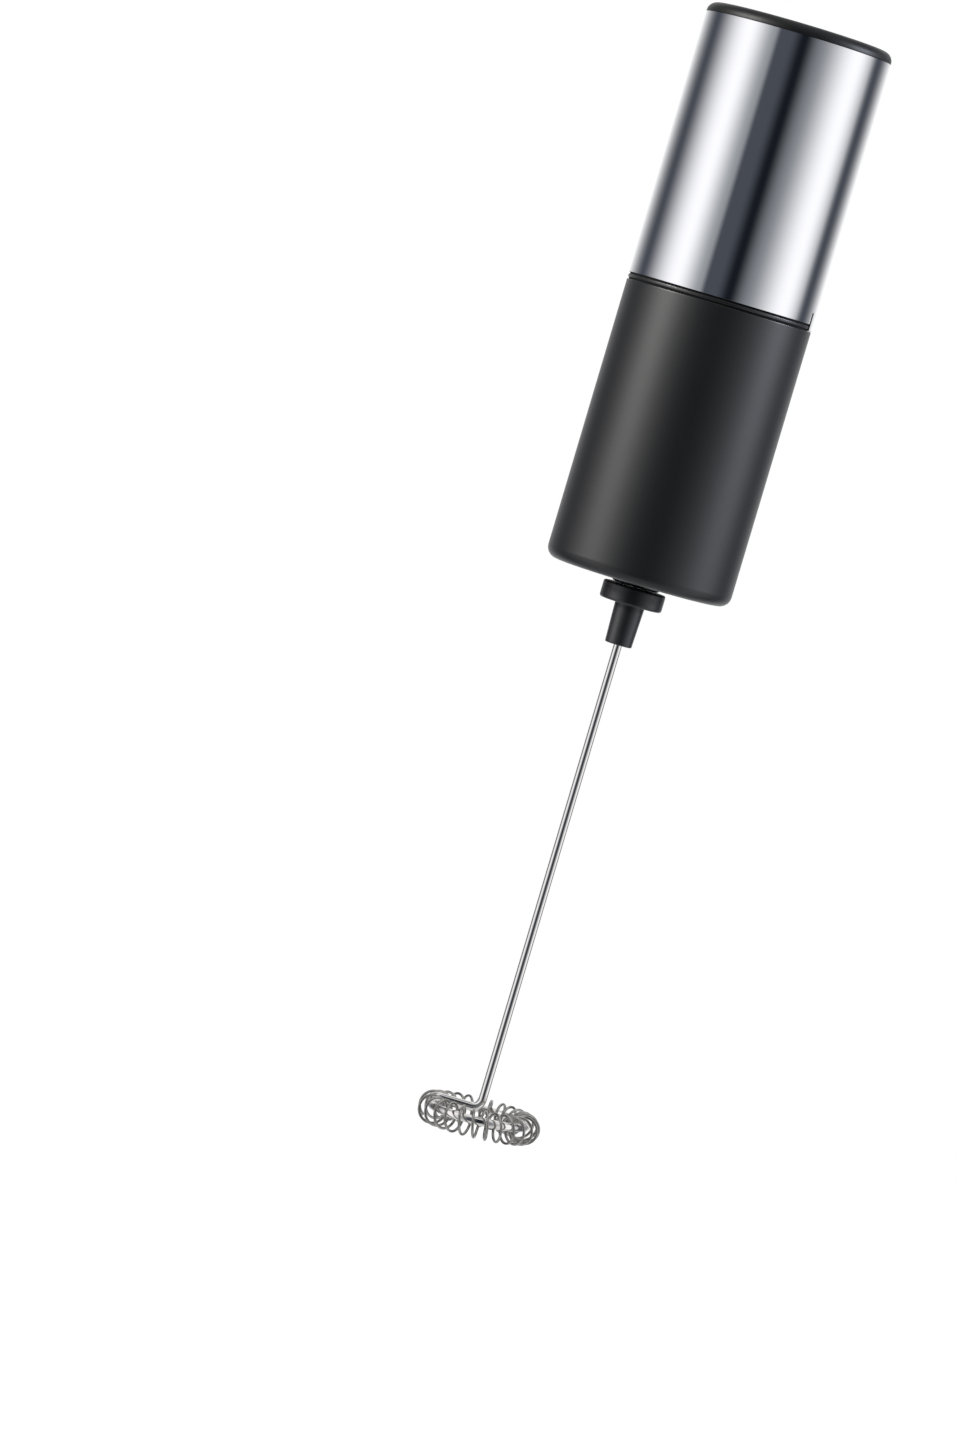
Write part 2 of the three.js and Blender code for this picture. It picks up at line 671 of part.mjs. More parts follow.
function addBushes() {
  const frontTop = MOTOR_FRONT + CUT;
  const rearBottom = CAN_TOP + 2 * SLOT_FIT;
  place('front_bush', 'sintered_bronze', tube(BUSH_BORE_R, BUSH_R, FRONT_BOSS_BOTTOM, frontTop, MEDIUM));
  place('rear_bush', 'sintered_bronze', tube(BUSH_BORE_R, BUSH_R, rearBottom, REAR_BOSS_TOP, MEDIUM));
}

function addMagnets() {
  const bottom = MOTOR_FRONT + MOTOR_WALL + 2 * SLOT_FIT;
  const top = BRUSH_BOTTOM - 2 * SLOT_FIT;
  for (const [side, middle] of [['left', 180], ['right', 0]]) {
    place(`motor_magnet_${side}`, 'ferrite', sector(MAGNET_INNER_R, MAGNET_R,
      middle - MAGNET_HALF_ANGLE, middle + MAGNET_HALF_ANGLE, bottom, top, ARC_DIVISIONS));
  }
}

// A flat strip seen on edge: the outline that follows a bent centre line at half its thickness.
function stripShape(points, thickness) {
  const centre = points.map(([x, y]) => new THREE.Vector2(x, y));
  const last = centre.length - 1;
  const left = [];
  const right = [];
  centre.forEach((here, index) => {
    const along = centre[Math.min(index + 1, last)].clone().sub(centre[Math.max(index - 1, 0)]).normalize();
    const across = new THREE.Vector2(-along.y, along.x).multiplyScalar(thickness / 2);
    left.push(here.clone().add(across));
    right.unshift(here.clone().sub(across));
  });
  return new THREE.Shape([...right, ...left]);
}

function addBrushesAndTerminals() {
  const halfThickness = TERMINAL_THICKNESS / 2;
  const halfWidth = TERMINAL_WIDTH / 2;
  const leafThickness = 0.2;
  const leafX = COMMUTATOR_R + BUSH_BORE_R - SHAFT_R + leafThickness / 2;
  const bend = [[TERMINAL_X, -1], [TERMINAL_X, 3.4], [5.4, 5], [4, 4.6]];
  const leaf = [...bend, [leafX + 0.3, 1.4], [leafX, 0], [leafX, -2.6]];
  for (const [side, sign] of [['left', -1], ['right', 1]]) {
    const x = sign * TERMINAL_X;
    const strip = stripShape(leaf.map(([px, py]) => [sign * px, sign * py]), leafThickness);
    place(`brush_${side}`, 'copper', raised(strip, BRUSH_BOTTOM, BRUSH_TOP, 1));
    place(`motor_terminal_${side}`, 'copper', block(x - halfThickness, x + halfThickness,
      -halfWidth, halfWidth, BRUSH_TOP + FIT, TERMINAL_TOP));
  }
}

function addCradle() {
  const seat = tube(SEAL_R + CUT, CRADLE_R, HOUSING_BOTTOM + HOUSING_FLOOR + FIT, MOTOR_FRONT - FIT, FINE);
  const wallShape = new THREE.Shape();
  wallShape.absarc(0, 0, CRADLE_R, 0, 2 * Math.PI, false);
  wallShape.holes.push(motorOutline(-SLOT_FIT, new THREE.Path()));
  const wall = raised(wallShape, MOTOR_FRONT - 2 * SLOT_FIT, CRADLE_TOP, LONG_ARC_DIVISIONS);
  const windowHalfAngle = 30;
  const windowTop = CRADLE_TOP + CUT;
  const windows = [45, 135, 225, 315].map((middle) => sector(MOTOR_R + CUT, CRADLE_R - CUT,
    middle - windowHalfAngle, middle + windowHalfAngle, MOTOR_FRONT, windowTop, ARC_DIVISIONS));
  place('motor_cradle', 'grey_moulding', carved(wall, [seat], windows));
}

function addLeads() {
  const route = [[11, 0, -18.3], [10.6, 0.9, -19], [9.6, 1.5, -19.7], [8.5, 1.3, -19.9], [7.5, 0.3, -19.4]];
  for (const [side, sign, finish] of [['left', -1, 'lead_black'], ['right', 1, 'lead_red']]) {
    const curve = new THREE.CatmullRomCurve3(route.map(([x, y, z]) => new THREE.Vector3(sign * x, y, z)));
    place(`lead_wire_${side}`, finish, wire(curve.getPoints(LOOP_STEPS), LEAD_R, WIRE_SIDES));
  }
}

// ---------------------------------------------------------------- whisk body: rotor, coupling, wire, coil
function addShaft() {
  place('motor_shaft', 'zinc_steel', rod(SHAFT_R, SHAFT_BOTTOM, SHAFT_TOP, MEDIUM));
}

function addArmature() {
  const shape = new THREE.Shape();
  const poleAngle = 360 / POLES;
  const armAtShoe = THREE.MathUtils.radToDeg(Math.asin(CORE_ARM_HALF / CORE_SHOE_R));
  const armAtHub = THREE.MathUtils.radToDeg(Math.asin(CORE_ARM_HALF / CORE_HUB_R));
  for (let pole = 0; pole < POLES; pole += 1) {
    const middle = pole * poleAngle;
    const next = middle + poleAngle;
    shape.absarc(0, 0, CORE_R, radians(middle - SHOE_HALF_ANGLE), radians(middle + SHOE_HALF_ANGLE), false);
    shape.absarc(0, 0, CORE_SHOE_R, radians(middle + SHOE_HALF_ANGLE), radians(middle + armAtShoe), true);
    shape.absarc(0, 0, CORE_HUB_R, radians(middle + armAtHub), radians(next - armAtHub), false);
    shape.absarc(0, 0, CORE_SHOE_R, radians(next - armAtShoe), radians(next - SHOE_HALF_ANGLE), true);
  }
  shape.closePath();
  const bore = new THREE.Path();
  bore.absarc(0, 0, BUSH_BORE_R, 0, 2 * Math.PI, false);
  shape.holes.push(bore);
  place('armature_core', 'zinc_steel', raised(shape, CORE_BOTTOM, CORE_TOP, ARC_DIVISIONS));
}

// Each winding is a rectangular ring of enamelled wire round one arm of the core.
function addWindings() {
  const middleZ = (CORE_BOTTOM + CORE_TOP) / 2;
  const holeHalfY = CORE_ARM_HALF + FIT;
  const holeHalfZ = (CORE_TOP - CORE_BOTTOM) / 2 + FIT;
  const innerR = 2.7;
  const outerR = 4.4;
  const halfY = holeHalfY + WINDING_THICKNESS;
  const halfZ = holeHalfZ + WINDING_THICKNESS;
  const holeBottom = middleZ - holeHalfZ;
  const holeTop = middleZ + holeHalfZ;
  for (let pole = 0; pole < POLES; pole += 1) {
    const outer = block(innerR, outerR, -halfY, halfY, middleZ - halfZ, middleZ + halfZ);
    const hole = block(innerR - CUT, outerR + CUT, -holeHalfY, holeHalfY, holeBottom, holeTop);
    const winding = carved(outer, [], [hole]);
    winding.rotateZ(radians(pole * 360 / POLES));
    place(`armature_winding_${pole + 1}`, 'copper', winding);
  }
}

function addCommutator() {
  const shape = new THREE.Shape();
  const grooveHalfAngle = 7;
  const grooveR = COMMUTATOR_R - 0.5;
  for (let segment = 0; segment < POLES; segment += 1) {
    const from = segment * 360 / POLES + grooveHalfAngle;
    const to = (segment + 1) * 360 / POLES - grooveHalfAngle;
    shape.absarc(0, 0, COMMUTATOR_R, radians(from), radians(to), false);
    shape.absarc(0, 0, grooveR, radians(to), radians(to + 2 * grooveHalfAngle), false);
  }
  shape.closePath();
  const bore = new THREE.Path();
  bore.absarc(0, 0, BUSH_BORE_R, 0, 2 * Math.PI, false);
  shape.holes.push(bore);
  place('commutator', 'copper', raised(shape, COMMUTATOR_BOTTOM, COMMUTATOR_TOP, ARC_DIVISIONS));
}

function addCoupling() {
  const corner = 0.4;
  const wireBoreR = WIRE_R + 2 * FIT;
  place('whisk_coupling', 'black_housing', turnedRing([
    [wireBoreR, COUPLING_BOTTOM],
    [COUPLING_TIP_R, COUPLING_BOTTOM],
    [COUPLING_NECK_R, COUPLING_FLANGE_BOTTOM],
    [COUPLING_FLANGE_R - corner, COUPLING_FLANGE_BOTTOM],
    [COUPLING_FLANGE_R, COUPLING_FLANGE_BOTTOM + corner],
    [COUPLING_FLANGE_R, COUPLING_TOP - corner],
    [COUPLING_FLANGE_R - corner, COUPLING_TOP],
    [BUSH_BORE_R, COUPLING_TOP],
    [BUSH_BORE_R, COUPLING_STEP_Z],
    [wireBoreR, COUPLING_STEP_Z],
  ], MEDIUM));
}

// A point of the whisk's head: the ring and coil lean by HEAD_TILT, with their +X side up.
function headPoint(x, y, z, centreZ) {
  const point = new THREE.Vector3(x, y, z);
  point.applyAxisAngle(new THREE.Vector3(0, 1, 0), -HEAD_TILT);
  point.z += centreZ;
  return point;
}

function ringPoint(angle) {
  return headPoint(RING_R * Math.cos(radians(angle)), RING_R * Math.sin(radians(angle)), 0, RING_Z);
}

function wireStations() {
  const stations = [new THREE.Vector3(0, 0, WIRE_TOP)];
  for (const [x, z] of arcPoints(-ARM_BEND_R, ARM_Z + ARM_BEND_R, ARM_BEND_R, 0, -90, EDGE_STEPS)) {
    stations.push(new THREE.Vector3(x, 0, z));
  }
  const hook = new THREE.CatmullRomCurve3([
    new THREE.Vector3(ARM_END_X, 0, ARM_Z),
    new THREE.Vector3(ARM_END_X - 1.4, 0.2, ARM_Z - 0.05),
    new THREE.Vector3(ARM_END_X - 2.1, 1.2, ARM_Z - 0.5),
    ringPoint(RING_START_ANGLE + 7),
    ringPoint(RING_START_ANGLE),
  ]);
  stations.push(...hook.getPoints(LOOP_STEPS));
  for (let step = 1; step <= RING_STEPS; step += 1) {
    stations.push(ringPoint(RING_START_ANGLE - RING_TURN * step / RING_STEPS));
  }
  return stations;
}

function coilStations() {
  const stations = [];
  const loops = (COIL_END_ANGLE - COIL_START_ANGLE) / COIL_PITCH_ANGLE;
  const steps = Math.round(loops * LOOP_STEPS);
  for (let step = 0; step <= steps; step += 1) {
    const round = radians(COIL_START_ANGLE + (COIL_END_ANGLE - COIL_START_ANGLE) * step / steps);
    const loop = -2 * Math.PI * loops * step / steps;
    const radius = COIL_RING_R + COIL_R * Math.cos(loop);
    const x = radius * Math.cos(round);
    const y = radius * Math.sin(round);
    stations.push(headPoint(x, y, COIL_R * Math.sin(loop), COIL_Z));
  }
  return stations;
}

function addWhisk() {
  place('whisk_wire', 'whisk_steel', wire(wireStations(), WIRE_R, WIRE_SIDES));
  place('whisk_coil', 'whisk_steel', wire(coilStations(), COIL_WIRE_R, THIN_WIRE_SIDES));
}

addHousing();
addCarrier();
addSleeve();
addCap();
addSwitchBase();
addScrews();
addButton();
addButtonSpring();
addCells();
addLowerContacts();
addUpperContacts();
addMotorCase();
addBushes();
addMagnets();
addBrushesAndTerminals();
addCradle();
addLeads();
addShaft();
addArmature();
addWindings();
addCommutator();
addCoupling();
addWhisk();

export default frother;
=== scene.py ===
"""Battery milk frother: the visible pieces, their materials, the studio and the camera.

Metres, +Z up, whisk down, with the origin on the handle's axis at the steel sleeve's lower edge.
"""
import json
import math

import bmesh
import bpy
from mathutils import Matrix, Vector


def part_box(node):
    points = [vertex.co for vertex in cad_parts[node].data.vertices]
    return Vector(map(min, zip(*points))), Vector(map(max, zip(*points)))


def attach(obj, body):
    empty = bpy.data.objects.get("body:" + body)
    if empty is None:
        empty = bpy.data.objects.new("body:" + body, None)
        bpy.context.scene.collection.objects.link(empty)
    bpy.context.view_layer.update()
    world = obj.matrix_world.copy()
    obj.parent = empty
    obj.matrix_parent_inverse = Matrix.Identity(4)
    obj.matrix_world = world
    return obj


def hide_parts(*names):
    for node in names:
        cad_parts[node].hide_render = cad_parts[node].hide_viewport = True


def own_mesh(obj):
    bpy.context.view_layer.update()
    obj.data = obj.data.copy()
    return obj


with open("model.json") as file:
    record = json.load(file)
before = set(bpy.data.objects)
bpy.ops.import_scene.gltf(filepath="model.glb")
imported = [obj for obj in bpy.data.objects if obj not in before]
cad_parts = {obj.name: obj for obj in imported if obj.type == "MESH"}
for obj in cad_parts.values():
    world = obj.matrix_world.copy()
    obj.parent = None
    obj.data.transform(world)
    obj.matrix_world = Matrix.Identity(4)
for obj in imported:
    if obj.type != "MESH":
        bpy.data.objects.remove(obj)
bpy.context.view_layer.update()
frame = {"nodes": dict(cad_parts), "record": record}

MM = 0.001

# ---------------------------------------------------------------- sizes read from the frame
HOUSING_LOW, HOUSING_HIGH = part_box("lower_housing")
SLEEVE_LOW, SLEEVE_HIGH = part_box("steel_sleeve")
CAP_LOW, CAP_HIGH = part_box("end_cap")
BUTTON_LOW, BUTTON_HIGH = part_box("push_button")
CARRIER_LOW, CARRIER_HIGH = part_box("battery_carrier")
LINER_LOW, LINER_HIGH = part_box("cover_liner")
SEAL_LOW, SEAL_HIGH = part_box("shaft_seal")
COUPLING_LOW, COUPLING_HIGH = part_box("whisk_coupling")
WIRE_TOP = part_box("whisk_wire")[1].z
BASE_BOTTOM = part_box("switch_base")[0].z
HANDLE_R = HOUSING_HIGH.x

# ---------------------------------------------------------------- sizes of the moulded and bent detail
SEGMENTS = 192
SMALL_SEGMENTS = 96
HAIR = 0.02 * MM                  # keeps two surfaces from lying in one plane
MOULDED_EDGE = 0.15 * MM
WALL = 1.5 * MM
FLOOR = 1.8 * MM
HOUSING_EDGE = 2.0 * MM
SEAM_GAP = 0.32 * MM
SEAM_EDGE = 0.12 * MM
SLEEVE_SKIN = 0.45 * MM
LATCH_HALF_ANGLE = 14.5
LATCH_SLIT_ANGLE = 2.4
LATCH_SLIT_TOP = 2.0 * MM
SHEARED_EDGE = 0.04 * MM
LINER_INNER_R = 15.05 * MM
RECESS_R = 7.0 * MM
RECESS_DEPTH = 0.3 * MM
SEAL_HOLE_R = 3.1 * MM
SHAFT_BORE_R = 1.06 * MM
CAP_EDGE = 1.8 * MM
CAP_WALL_BOTTOM = 46.3 * MM
CAP_SKIRT_R = 15.95 * MM
CAP_SKIRT_INNER_R = 14.2 * MM
CAP_SKIRT_BOTTOM = 42.1 * MM
SCREW_POST_R = 2.2 * MM
SCREW_HOLE_R = 0.95 * MM
SCREW_Y = 10.5 * MM
BUTTON_R = 7.0 * MM
BUTTON_HOLE_R = 7.25 * MM
BUTTON_STEM_R = 1.6 * MM
BUTTON_FLANGE_TOP = 46.25 * MM
BUTTON_FLANGE_BOTTOM = 45.05 * MM
BUTTON_DISH = 47.7 * MM
GRIP_PITCH = 1.25 * MM
GRIP_HEIGHT = 0.1 * MM
CARRIER_R = 14.85 * MM
SHOULDER_R = 15.85 * MM
GROOVE_R = 16.25 * MM
CARRIER_INNER_R = 14.7 * MM
CARRIER_FLOOR = 1.5 * MM
SPIGOT_TOP = 3.0 * MM
BAND_SET_IN = 0.05 * MM
SKIRT_BOTTOM = -4.0 * MM
PILLAR_HALF_ANGLE = 50.0
CELL_X = 7.4 * MM
CELL_POCKET_R = 7.4 * MM
NUB_R = 2.75 * MM
COUPLING_FLANGE_DEPTH = 3.1 * MM
COUPLING_NECK_R = 2.64 * MM
COUPLING_TIP_R = 2.38 * MM
COUPLING_WEB = -59.65 * MM        # where the shaft's bore ends and the wire's begins
WIRE_R = 0.75 * MM
ARM_Z = -146.4 * MM
ARM_BEND_R = 1.7 * MM
ARM_END_X = -6.2 * MM
RING_R = 8.5 * MM
RING_Z = -147.5 * MM
RING_START = 155.0
RING_TURN = 317.0
HEAD_LEAN = math.radians(2.8)
COIL_Z = -148.04 * MM
COIL_RING_R = 8.55 * MM
COIL_R = 2.38 * MM
COIL_WIRE_R = 0.245 * MM
COIL_START = 194.67
COIL_END = 524.0
COIL_LOOPS = 24.67
COIL_PHASE = 0.5
SPRING_R = 5.3 * MM
SPRING_WIRE_R = 0.25 * MM
SPRING_TURNS = 4.0
CONTACT_R = 4.6 * MM
CONTACT_TIP_R = 3.0 * MM
CONTACT_WIRE_R = 0.3 * MM
CONTACT_TURNS = 3.0

# ---------------------------------------------------------------- studio and camera
CAMERA_PLACE = (-0.00002, -1.107, -0.0064)
CAMERA_LENS = 160.0
CAMERA_SENSOR = 36.0
CAMERA_PITCH = -3.9
CAMERA_YAW = 1.0
CAMERA_ROLL = 16.5
FLOOR_Z = -0.190
FLOOR_R = 0.60


# ---------------------------------------------------------------- small helpers
def linear(code):
    """An sRGB hex colour as linear RGBA."""
    parts = [int(code[i:i + 2], 16) / 255 for i in (1, 3, 5)]
    return [p / 12.92 if p <= 0.04045 else ((p + 0.055) / 1.055) ** 2.4 for p in parts] + [1.0]


def add(tree, kind, settings=None, inputs=None):
    """Adds a node. An input's value is a socket to link or a plain value to set."""
    made = tree.nodes.new(kind)
    for name, value in (settings or {}).items():
        setattr(made, name, value)
    for key, value in (inputs or {}).items():
        if isinstance(value, bpy.types.NodeSocket):
            tree.links.new(value, made.inputs[key])
        else:
            made.inputs[key].default_value = value
    return made


def arc(centre_r, centre_z, radius, start, stop, steps):
    """Points of an arc from one angle to another, in degrees."""
    angles = [math.radians(start + (stop - start) * i / steps) for i in range(steps + 1)]
    return [(centre_r + radius * math.cos(a), centre_z + radius * math.sin(a)) for a in angles]


def rounded(corners, steps=5):
    """The closed outline through corners of (r, z, fillet radius), with its corners rounded."""
    points = []
    for i, (r, z, fillet) in enumerate(corners):
        here = Vector((r, z))
        before = Vector(corners[i - 1][:2]) - here
        after = Vector(corners[(i + 1) % len(corners)][:2]) - here
        if not fillet:
            points.append(here)
            continue
        half = before.angle(after) / 2
        reach = fillet / math.tan(half)
        centre = here + (before.normalized() + after.normalized()).normalized() * fillet / math.sin(half)
        first = here + before.normalized() * reach - centre
        turn = first.angle_signed(here + after.normalized() * reach - centre)
        for step in range(steps + 1):
            angle = -turn * step / steps
            points.append(centre + Matrix.Rotation(angle, 2) @ first)
    return points


def supported(points, closed, longest=1.0 * MM, margin=0.12 * MM):
    """The same outline with a point close to each end of every long stretch, which keeps its shading flat."""
    result = []
    count = len(points)
    for i, point in enumerate(points):
        result.append(point)
        if i == count - 1 and not closed:
            continue
        along = points[(i + 1) % count] - point
        if along.length > longest:
            step = along.normalized() * margin
            result += [point + step, points[(i + 1) % count] - step]
    return result


def new_object(name, mesh):
    made = bpy.data.objects.new(name, mesh)
    bpy.context.scene.collection.objects.link(made)
    return made


def mark_edges(bm):
    """Stores how tightly the surface bends outwards at each point: 1 on a crisp edge, about 0 on a flat."""
    layer = bm.verts.layers.float.new("edge")
    bm.normal_update()
    for edge in bm.edges:
        turn = edge.calc_face_angle_signed(0.0) if len(edge.link_faces) == 2 else 0.0
        if turn > 0.02:
            one, other = (face.calc_center_median() for face in edge.link_faces)
            bend = min(1.0, 0.25 * MM * turn / max((one - other).length, 1e-6))
            for vert in edge.verts:
                vert[layer] = max(vert[layer], bend)


def mesh_from(name, bm, sharp=35.0):
    """A smooth-shaded object from a bmesh, sharp where faces meet at more than the given angle."""
    bmesh.ops.remove_doubles(bm, verts=bm.verts, dist=1e-7)
    bmesh.ops.recalc_face_normals(bm, faces=bm.faces)
    mark_edges(bm)
    mesh = bpy.data.meshes.new(name)
    bm.to_mesh(mesh)
    bm.free()
    mesh.polygons.foreach_set("use_smooth", [True] * len(mesh.polygons))
    mesh.set_sharp_from_angle(angle=math.radians(sharp))
    return new_object(name, mesh)


def spin_outline(bm, outline, segments, start=0.0, stop=360.0, centre=(0.0, 0.0)):
    """Adds the solid that an outline of (r, z) sweeps round a vertical axis; a part turn gets end faces."""
    full = stop - start >= 360.0
    count = segments if full else segments + 1
    rings = []
    for i in range(count):
        angle = math.radians(start + (stop - start) * i / segments)
        cos, sin = math.cos(angle), math.sin(angle)
        rings.append([bm.verts.new((centre[0] + r * cos, centre[1] + r * sin, z)) for r, z in outline])
    for i in range(segments):
        here, there = rings[i], rings[(i + 1) % count]
        for j in range(len(outline)):
            k = (j + 1) % len(outline)
            if outline[j][0] < 1e-9 and outline[k][0] < 1e-9:
                continue
            bm.faces.new((here[j], there[j], there[k], here[k]))
    if not full:
        bm.faces.new(rings[0])
        bm.faces.new(list(reversed(rings[-1])))


def revolved(name, corners, segments=SEGMENTS):
    """A closed turned piece whose outline is given as rounded corners."""
    bm = bmesh.new()
    spin_outline(bm, supported(rounded(corners), closed=True), segments)
    return mesh_from(name, bm)


def swept(name, points, radius, sides):
    """A round wire along a list of points, with domed ends."""
    bm = bmesh.new()
    dome = [(radius * math.sin(a), -radius * math.cos(a)) for a in (0.0, 0.5, 1.0, math.pi / 2)]
    tangents = []
    for i in range(len(points)):
        ahead = points[min(i + 1, len(points) - 1)]
        behind = points[max(i - 1, 0)]
        tangents.append((ahead - behind).normalized())
    side = tangents[0].orthogonal().normalized()
    stations = [(points[0] + tangents[0] * (radius + z), tangents[0], r) for r, z in dome[:-1]]
    stations += [(p, t, radius) for p, t in zip(points, tangents)]
    stations += [(points[-1] - tangents[-1] * (radius + z), tangents[-1], r) for r, z in reversed(dome[:-1])]
    rings = []
    for centre, tangent, r in stations:
        side = (side - tangent * side.dot(tangent)).normalized()
        up = tangent.cross(side)
        angles = [2 * math.pi * i / sides for i in range(sides)]
        rings.append([bm.verts.new(centre + (side * math.cos(a) + up * math.sin(a)) * r) for a in angles])
    for low, high in zip(rings, rings[1:]):
        for i in range(sides):
            bm.faces.new((low[i], low[(i + 1) % sides], high[(i + 1) % sides], high[i]))
    return mesh_from(name, bm, sharp=60.0)


def finished(piece, body, slot, material, *nodes):
    """Gives a piece its material, hides the CAD nodes it stands for and lets it ride on its body."""
    if not piece.data.materials:
        piece.data.materials.append(material)
    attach(piece, body)
    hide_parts(*nodes)
    return piece


def apply_modifiers(piece):
    """Turns the piece's modifiers into a plain mesh."""
    bpy.context.view_layer.update()
    graph = bpy.context.evaluated_depsgraph_get()
    mesh = bpy.data.meshes.new_from_object(piece.evaluated_get(graph))
    piece.modifiers.clear()
    piece.data = mesh
    return piece


# ---------------------------------------------------------------- materials
def surface(name, colour, metallic, roughness, **sockets):
    """A new material with its shader set: (material, tree, shader)."""
    material = bpy.data.materials.new(name)
    material.use_nodes = True
    tree = material.node_tree
    shader = tree.nodes["Principled BSDF"]
    shader.inputs["Base Color"].default_value = linear(colour)
    shader.inputs["Metallic"].default_value = metallic
    shader.inputs["Roughness"].default_value = roughness
    for socket, value in sockets.items():
        shader.inputs[socket.replace("_", " ")].default_value = value
    return material, tree, shader


def object_noise(tree, size_mm, detail=2.0, stretch=(1.0, 1.0, 1.0)):
    """The factor of a noise whose grains are about size_mm across, in the piece's own coordinates."""
    place = add(tree, "ShaderNodeTexCoord").outputs["Object"]
    scale = [s / (size_mm * MM) for s in stretch]
    mapped = add(tree, "ShaderNodeMapping", None, {"Vector": place, "Scale": scale}).outputs["Vector"]
    noise = add(tree, "ShaderNodeTexNoise", None, {"Vector": mapped, "Scale": 1.0, "Detail": detail})
    return noise.outputs[0]


def vary(tree, shader, socket, factor, low, high):
    """Lets a socket run from low to high as the factor goes through its middle range."""
    spread = add(tree, "ShaderNodeMapRange", None,
                 {"Value": factor, "From Min": 0.3, "From Max": 0.7, "To Min": low, "To Max": high})
    tree.links.new(spread.outputs["Result"], shader.inputs[socket])


def tint(tree, shader, factor, dark, light):
    """Lets the base colour run between two hex colours."""
    mix = add(tree, "ShaderNodeMix", {"data_type": "RGBA"},
              {"Factor": factor, "A": linear(dark), "B": linear(light)})
    tree.links.new(mix.outputs["Result"], shader.inputs["Base Color"])


def relief(tree, shader, height, depth_mm, strength=1.0):
    bump = add(tree, "ShaderNodeBump", None,
               {"Height": height, "Distance": depth_mm * MM, "Strength": strength})
    tree.links.new(bump.outputs["Normal"], shader.inputs["Normal"])


def worn_edges(tree, shader, patches, colour, roughness):
    """Handling on the crisp outer edges: paler and smoother there, in patches."""
    edge = add(tree, "ShaderNodeAttribute", {"attribute_name": "edge"}).outputs["Fac"]
    spots = add(tree, "ShaderNodeMapRange", None, {"Value": patches, "From Min": 0.35, "From Max": 0.6})
    worn = add(tree, "ShaderNodeMath", {"operation": "MULTIPLY"},
               {0: edge, 1: spots.outputs["Result"]}).outputs[0]
    for socket, kind, there in (("Base Color", "RGBA", linear(colour)), ("Roughness", "FLOAT", roughness)):
        target = shader.inputs[socket]
        here = target.links[0].from_socket if target.is_linked else target.default_value
        mix = add(tree, "ShaderNodeMix", {"data_type": kind}, {"Factor": worn, "A": here, "B": there})
        tree.links.new(mix.outputs["Result"], target)


def polished_stainless():
    # Drawn stainless tube, buffed to a mirror: clean reflections, a trace of haze, faint lines round it.
    material, tree, shader = surface("polished_stainless_tube", "#eaeaea", 1.0, 0.06)
    haze = object_noise(tree, 9.0, 3.0)
    vary(tree, shader, "Roughness", haze, 0.045, 0.075)
    lines = object_noise(tree, 0.6, 2.0, (0.04, 0.04, 1.0))
    relief(tree, shader, lines, 0.0006, 0.25)
    return material


def sheared_stainless():
    # The tube's cut ends and slit walls: torn by the tool and not polished after, so dull; their dark colour
    # is painted shade at the slits, the seam and the edges.
    material, tree, shader = surface("sheared_edge_painted_shade", "#4a4a4c", 1.0, 0.5)
    tear = object_noise(tree, 0.2, 2.0, (1.0, 1.0, 0.2))
    vary(tree, shader, "Roughness", tear, 0.42, 0.6)
    relief(tree, shader, tear, 0.01, 0.3)
    return material


def spark_textured_abs():
    # ABS moulded in a spark-eroded tool: a fine even grain that spreads the light into broad dull bands.
    material, tree, shader = surface("spark_textured_abs", "#0d0d0e", 0.0, 0.385, Specular_IOR_Level=0.5)
    cloud = object_noise(tree, 7.0, 3.0)
    tint(tree, shader, cloud, "#0d0d0e", "#101011")
    worn_edges(tree, shader, object_noise(tree, 2.5), "#1a1a1b", 0.28)
    grain = object_noise(tree, 0.32, 2.0)
    relief(tree, shader, grain, 0.018, 0.35)
    return material


def satin_abs():
    # ABS from a smoother tool than the housing's: satin, a little glossier on its rounded edge.
    material, tree, shader = surface("satin_abs", "#09090a", 0.0, 0.46, Specular_IOR_Level=0.26)
    cloud = object_noise(tree, 5.0, 3.0)
    vary(tree, shader, "Roughness", cloud, 0.42, 0.50)
    worn_edges(tree, shader, object_noise(tree, 2.0), "#161617", 0.32)
    grain = object_noise(tree, 0.25, 2.0)
    relief(tree, shader, grain, 0.006, 0.3)
    return material


def painted_seam_shade_abs():
    # The carrier's shoulder, matt as the cutter left the tool; its near-black colour is painted shade, so the
    # seam's grooves stay dark.
    material, tree, shader = surface("painted_seam_shade_abs", "#060607", 0.0, 0.8, Specular_IOR_Level=0.15)
    marks = object_noise(tree, 0.15)
    vary(tree, shader, "Roughness", marks, 0.72, 0.88)
    relief(tree, shader, marks, 0.01, 0.4)
    return material


def moulded_acetal():
    # Acetal coupling: slippery, dense black, with faint flow marks along its neck.
    material, tree, shader = surface("moulded_acetal", "#17171a", 0.0, 0.38, Specular_IOR_Level=0.55)
    flow = object_noise(tree, 1.2, 3.0, (1.0, 1.0, 0.25))
    vary(tree, shader, "Roughness", flow, 0.32, 0.44)
    worn_edges(tree, shader, object_noise(tree, 1.0), "#232326", 0.26)
    relief(tree, shader, flow, 0.012, 0.3)
    return material


def drawn_wire():
    # Stainless wire pulled through a die: bright, with fine lines along it.
    material, tree, shader = surface("drawn_stainless_wire", "#e6e3de", 1.0, 0.11)
    lines = object_noise(tree, 0.12, 2.0, (1.0, 1.0, 0.02))
    vary(tree, shader, "Roughness", lines, 0.08, 0.16)
    relief(tree, shader, lines, 0.003, 0.3)
    return material


def spring_wire():
    # Thin spring stainless, heat-set after winding: a shade darker and warmer than the stem.
    material, tree, shader = surface("spring_stainless_wire", "#a5a39e", 1.0, 0.2)
    cloud = object_noise(tree, 1.5, 2.0)
    vary(tree, shader, "Roughness", cloud, 0.16, 0.24)
    tint(tree, shader, cloud, "#9b9994", "#b1afa9")
    return material


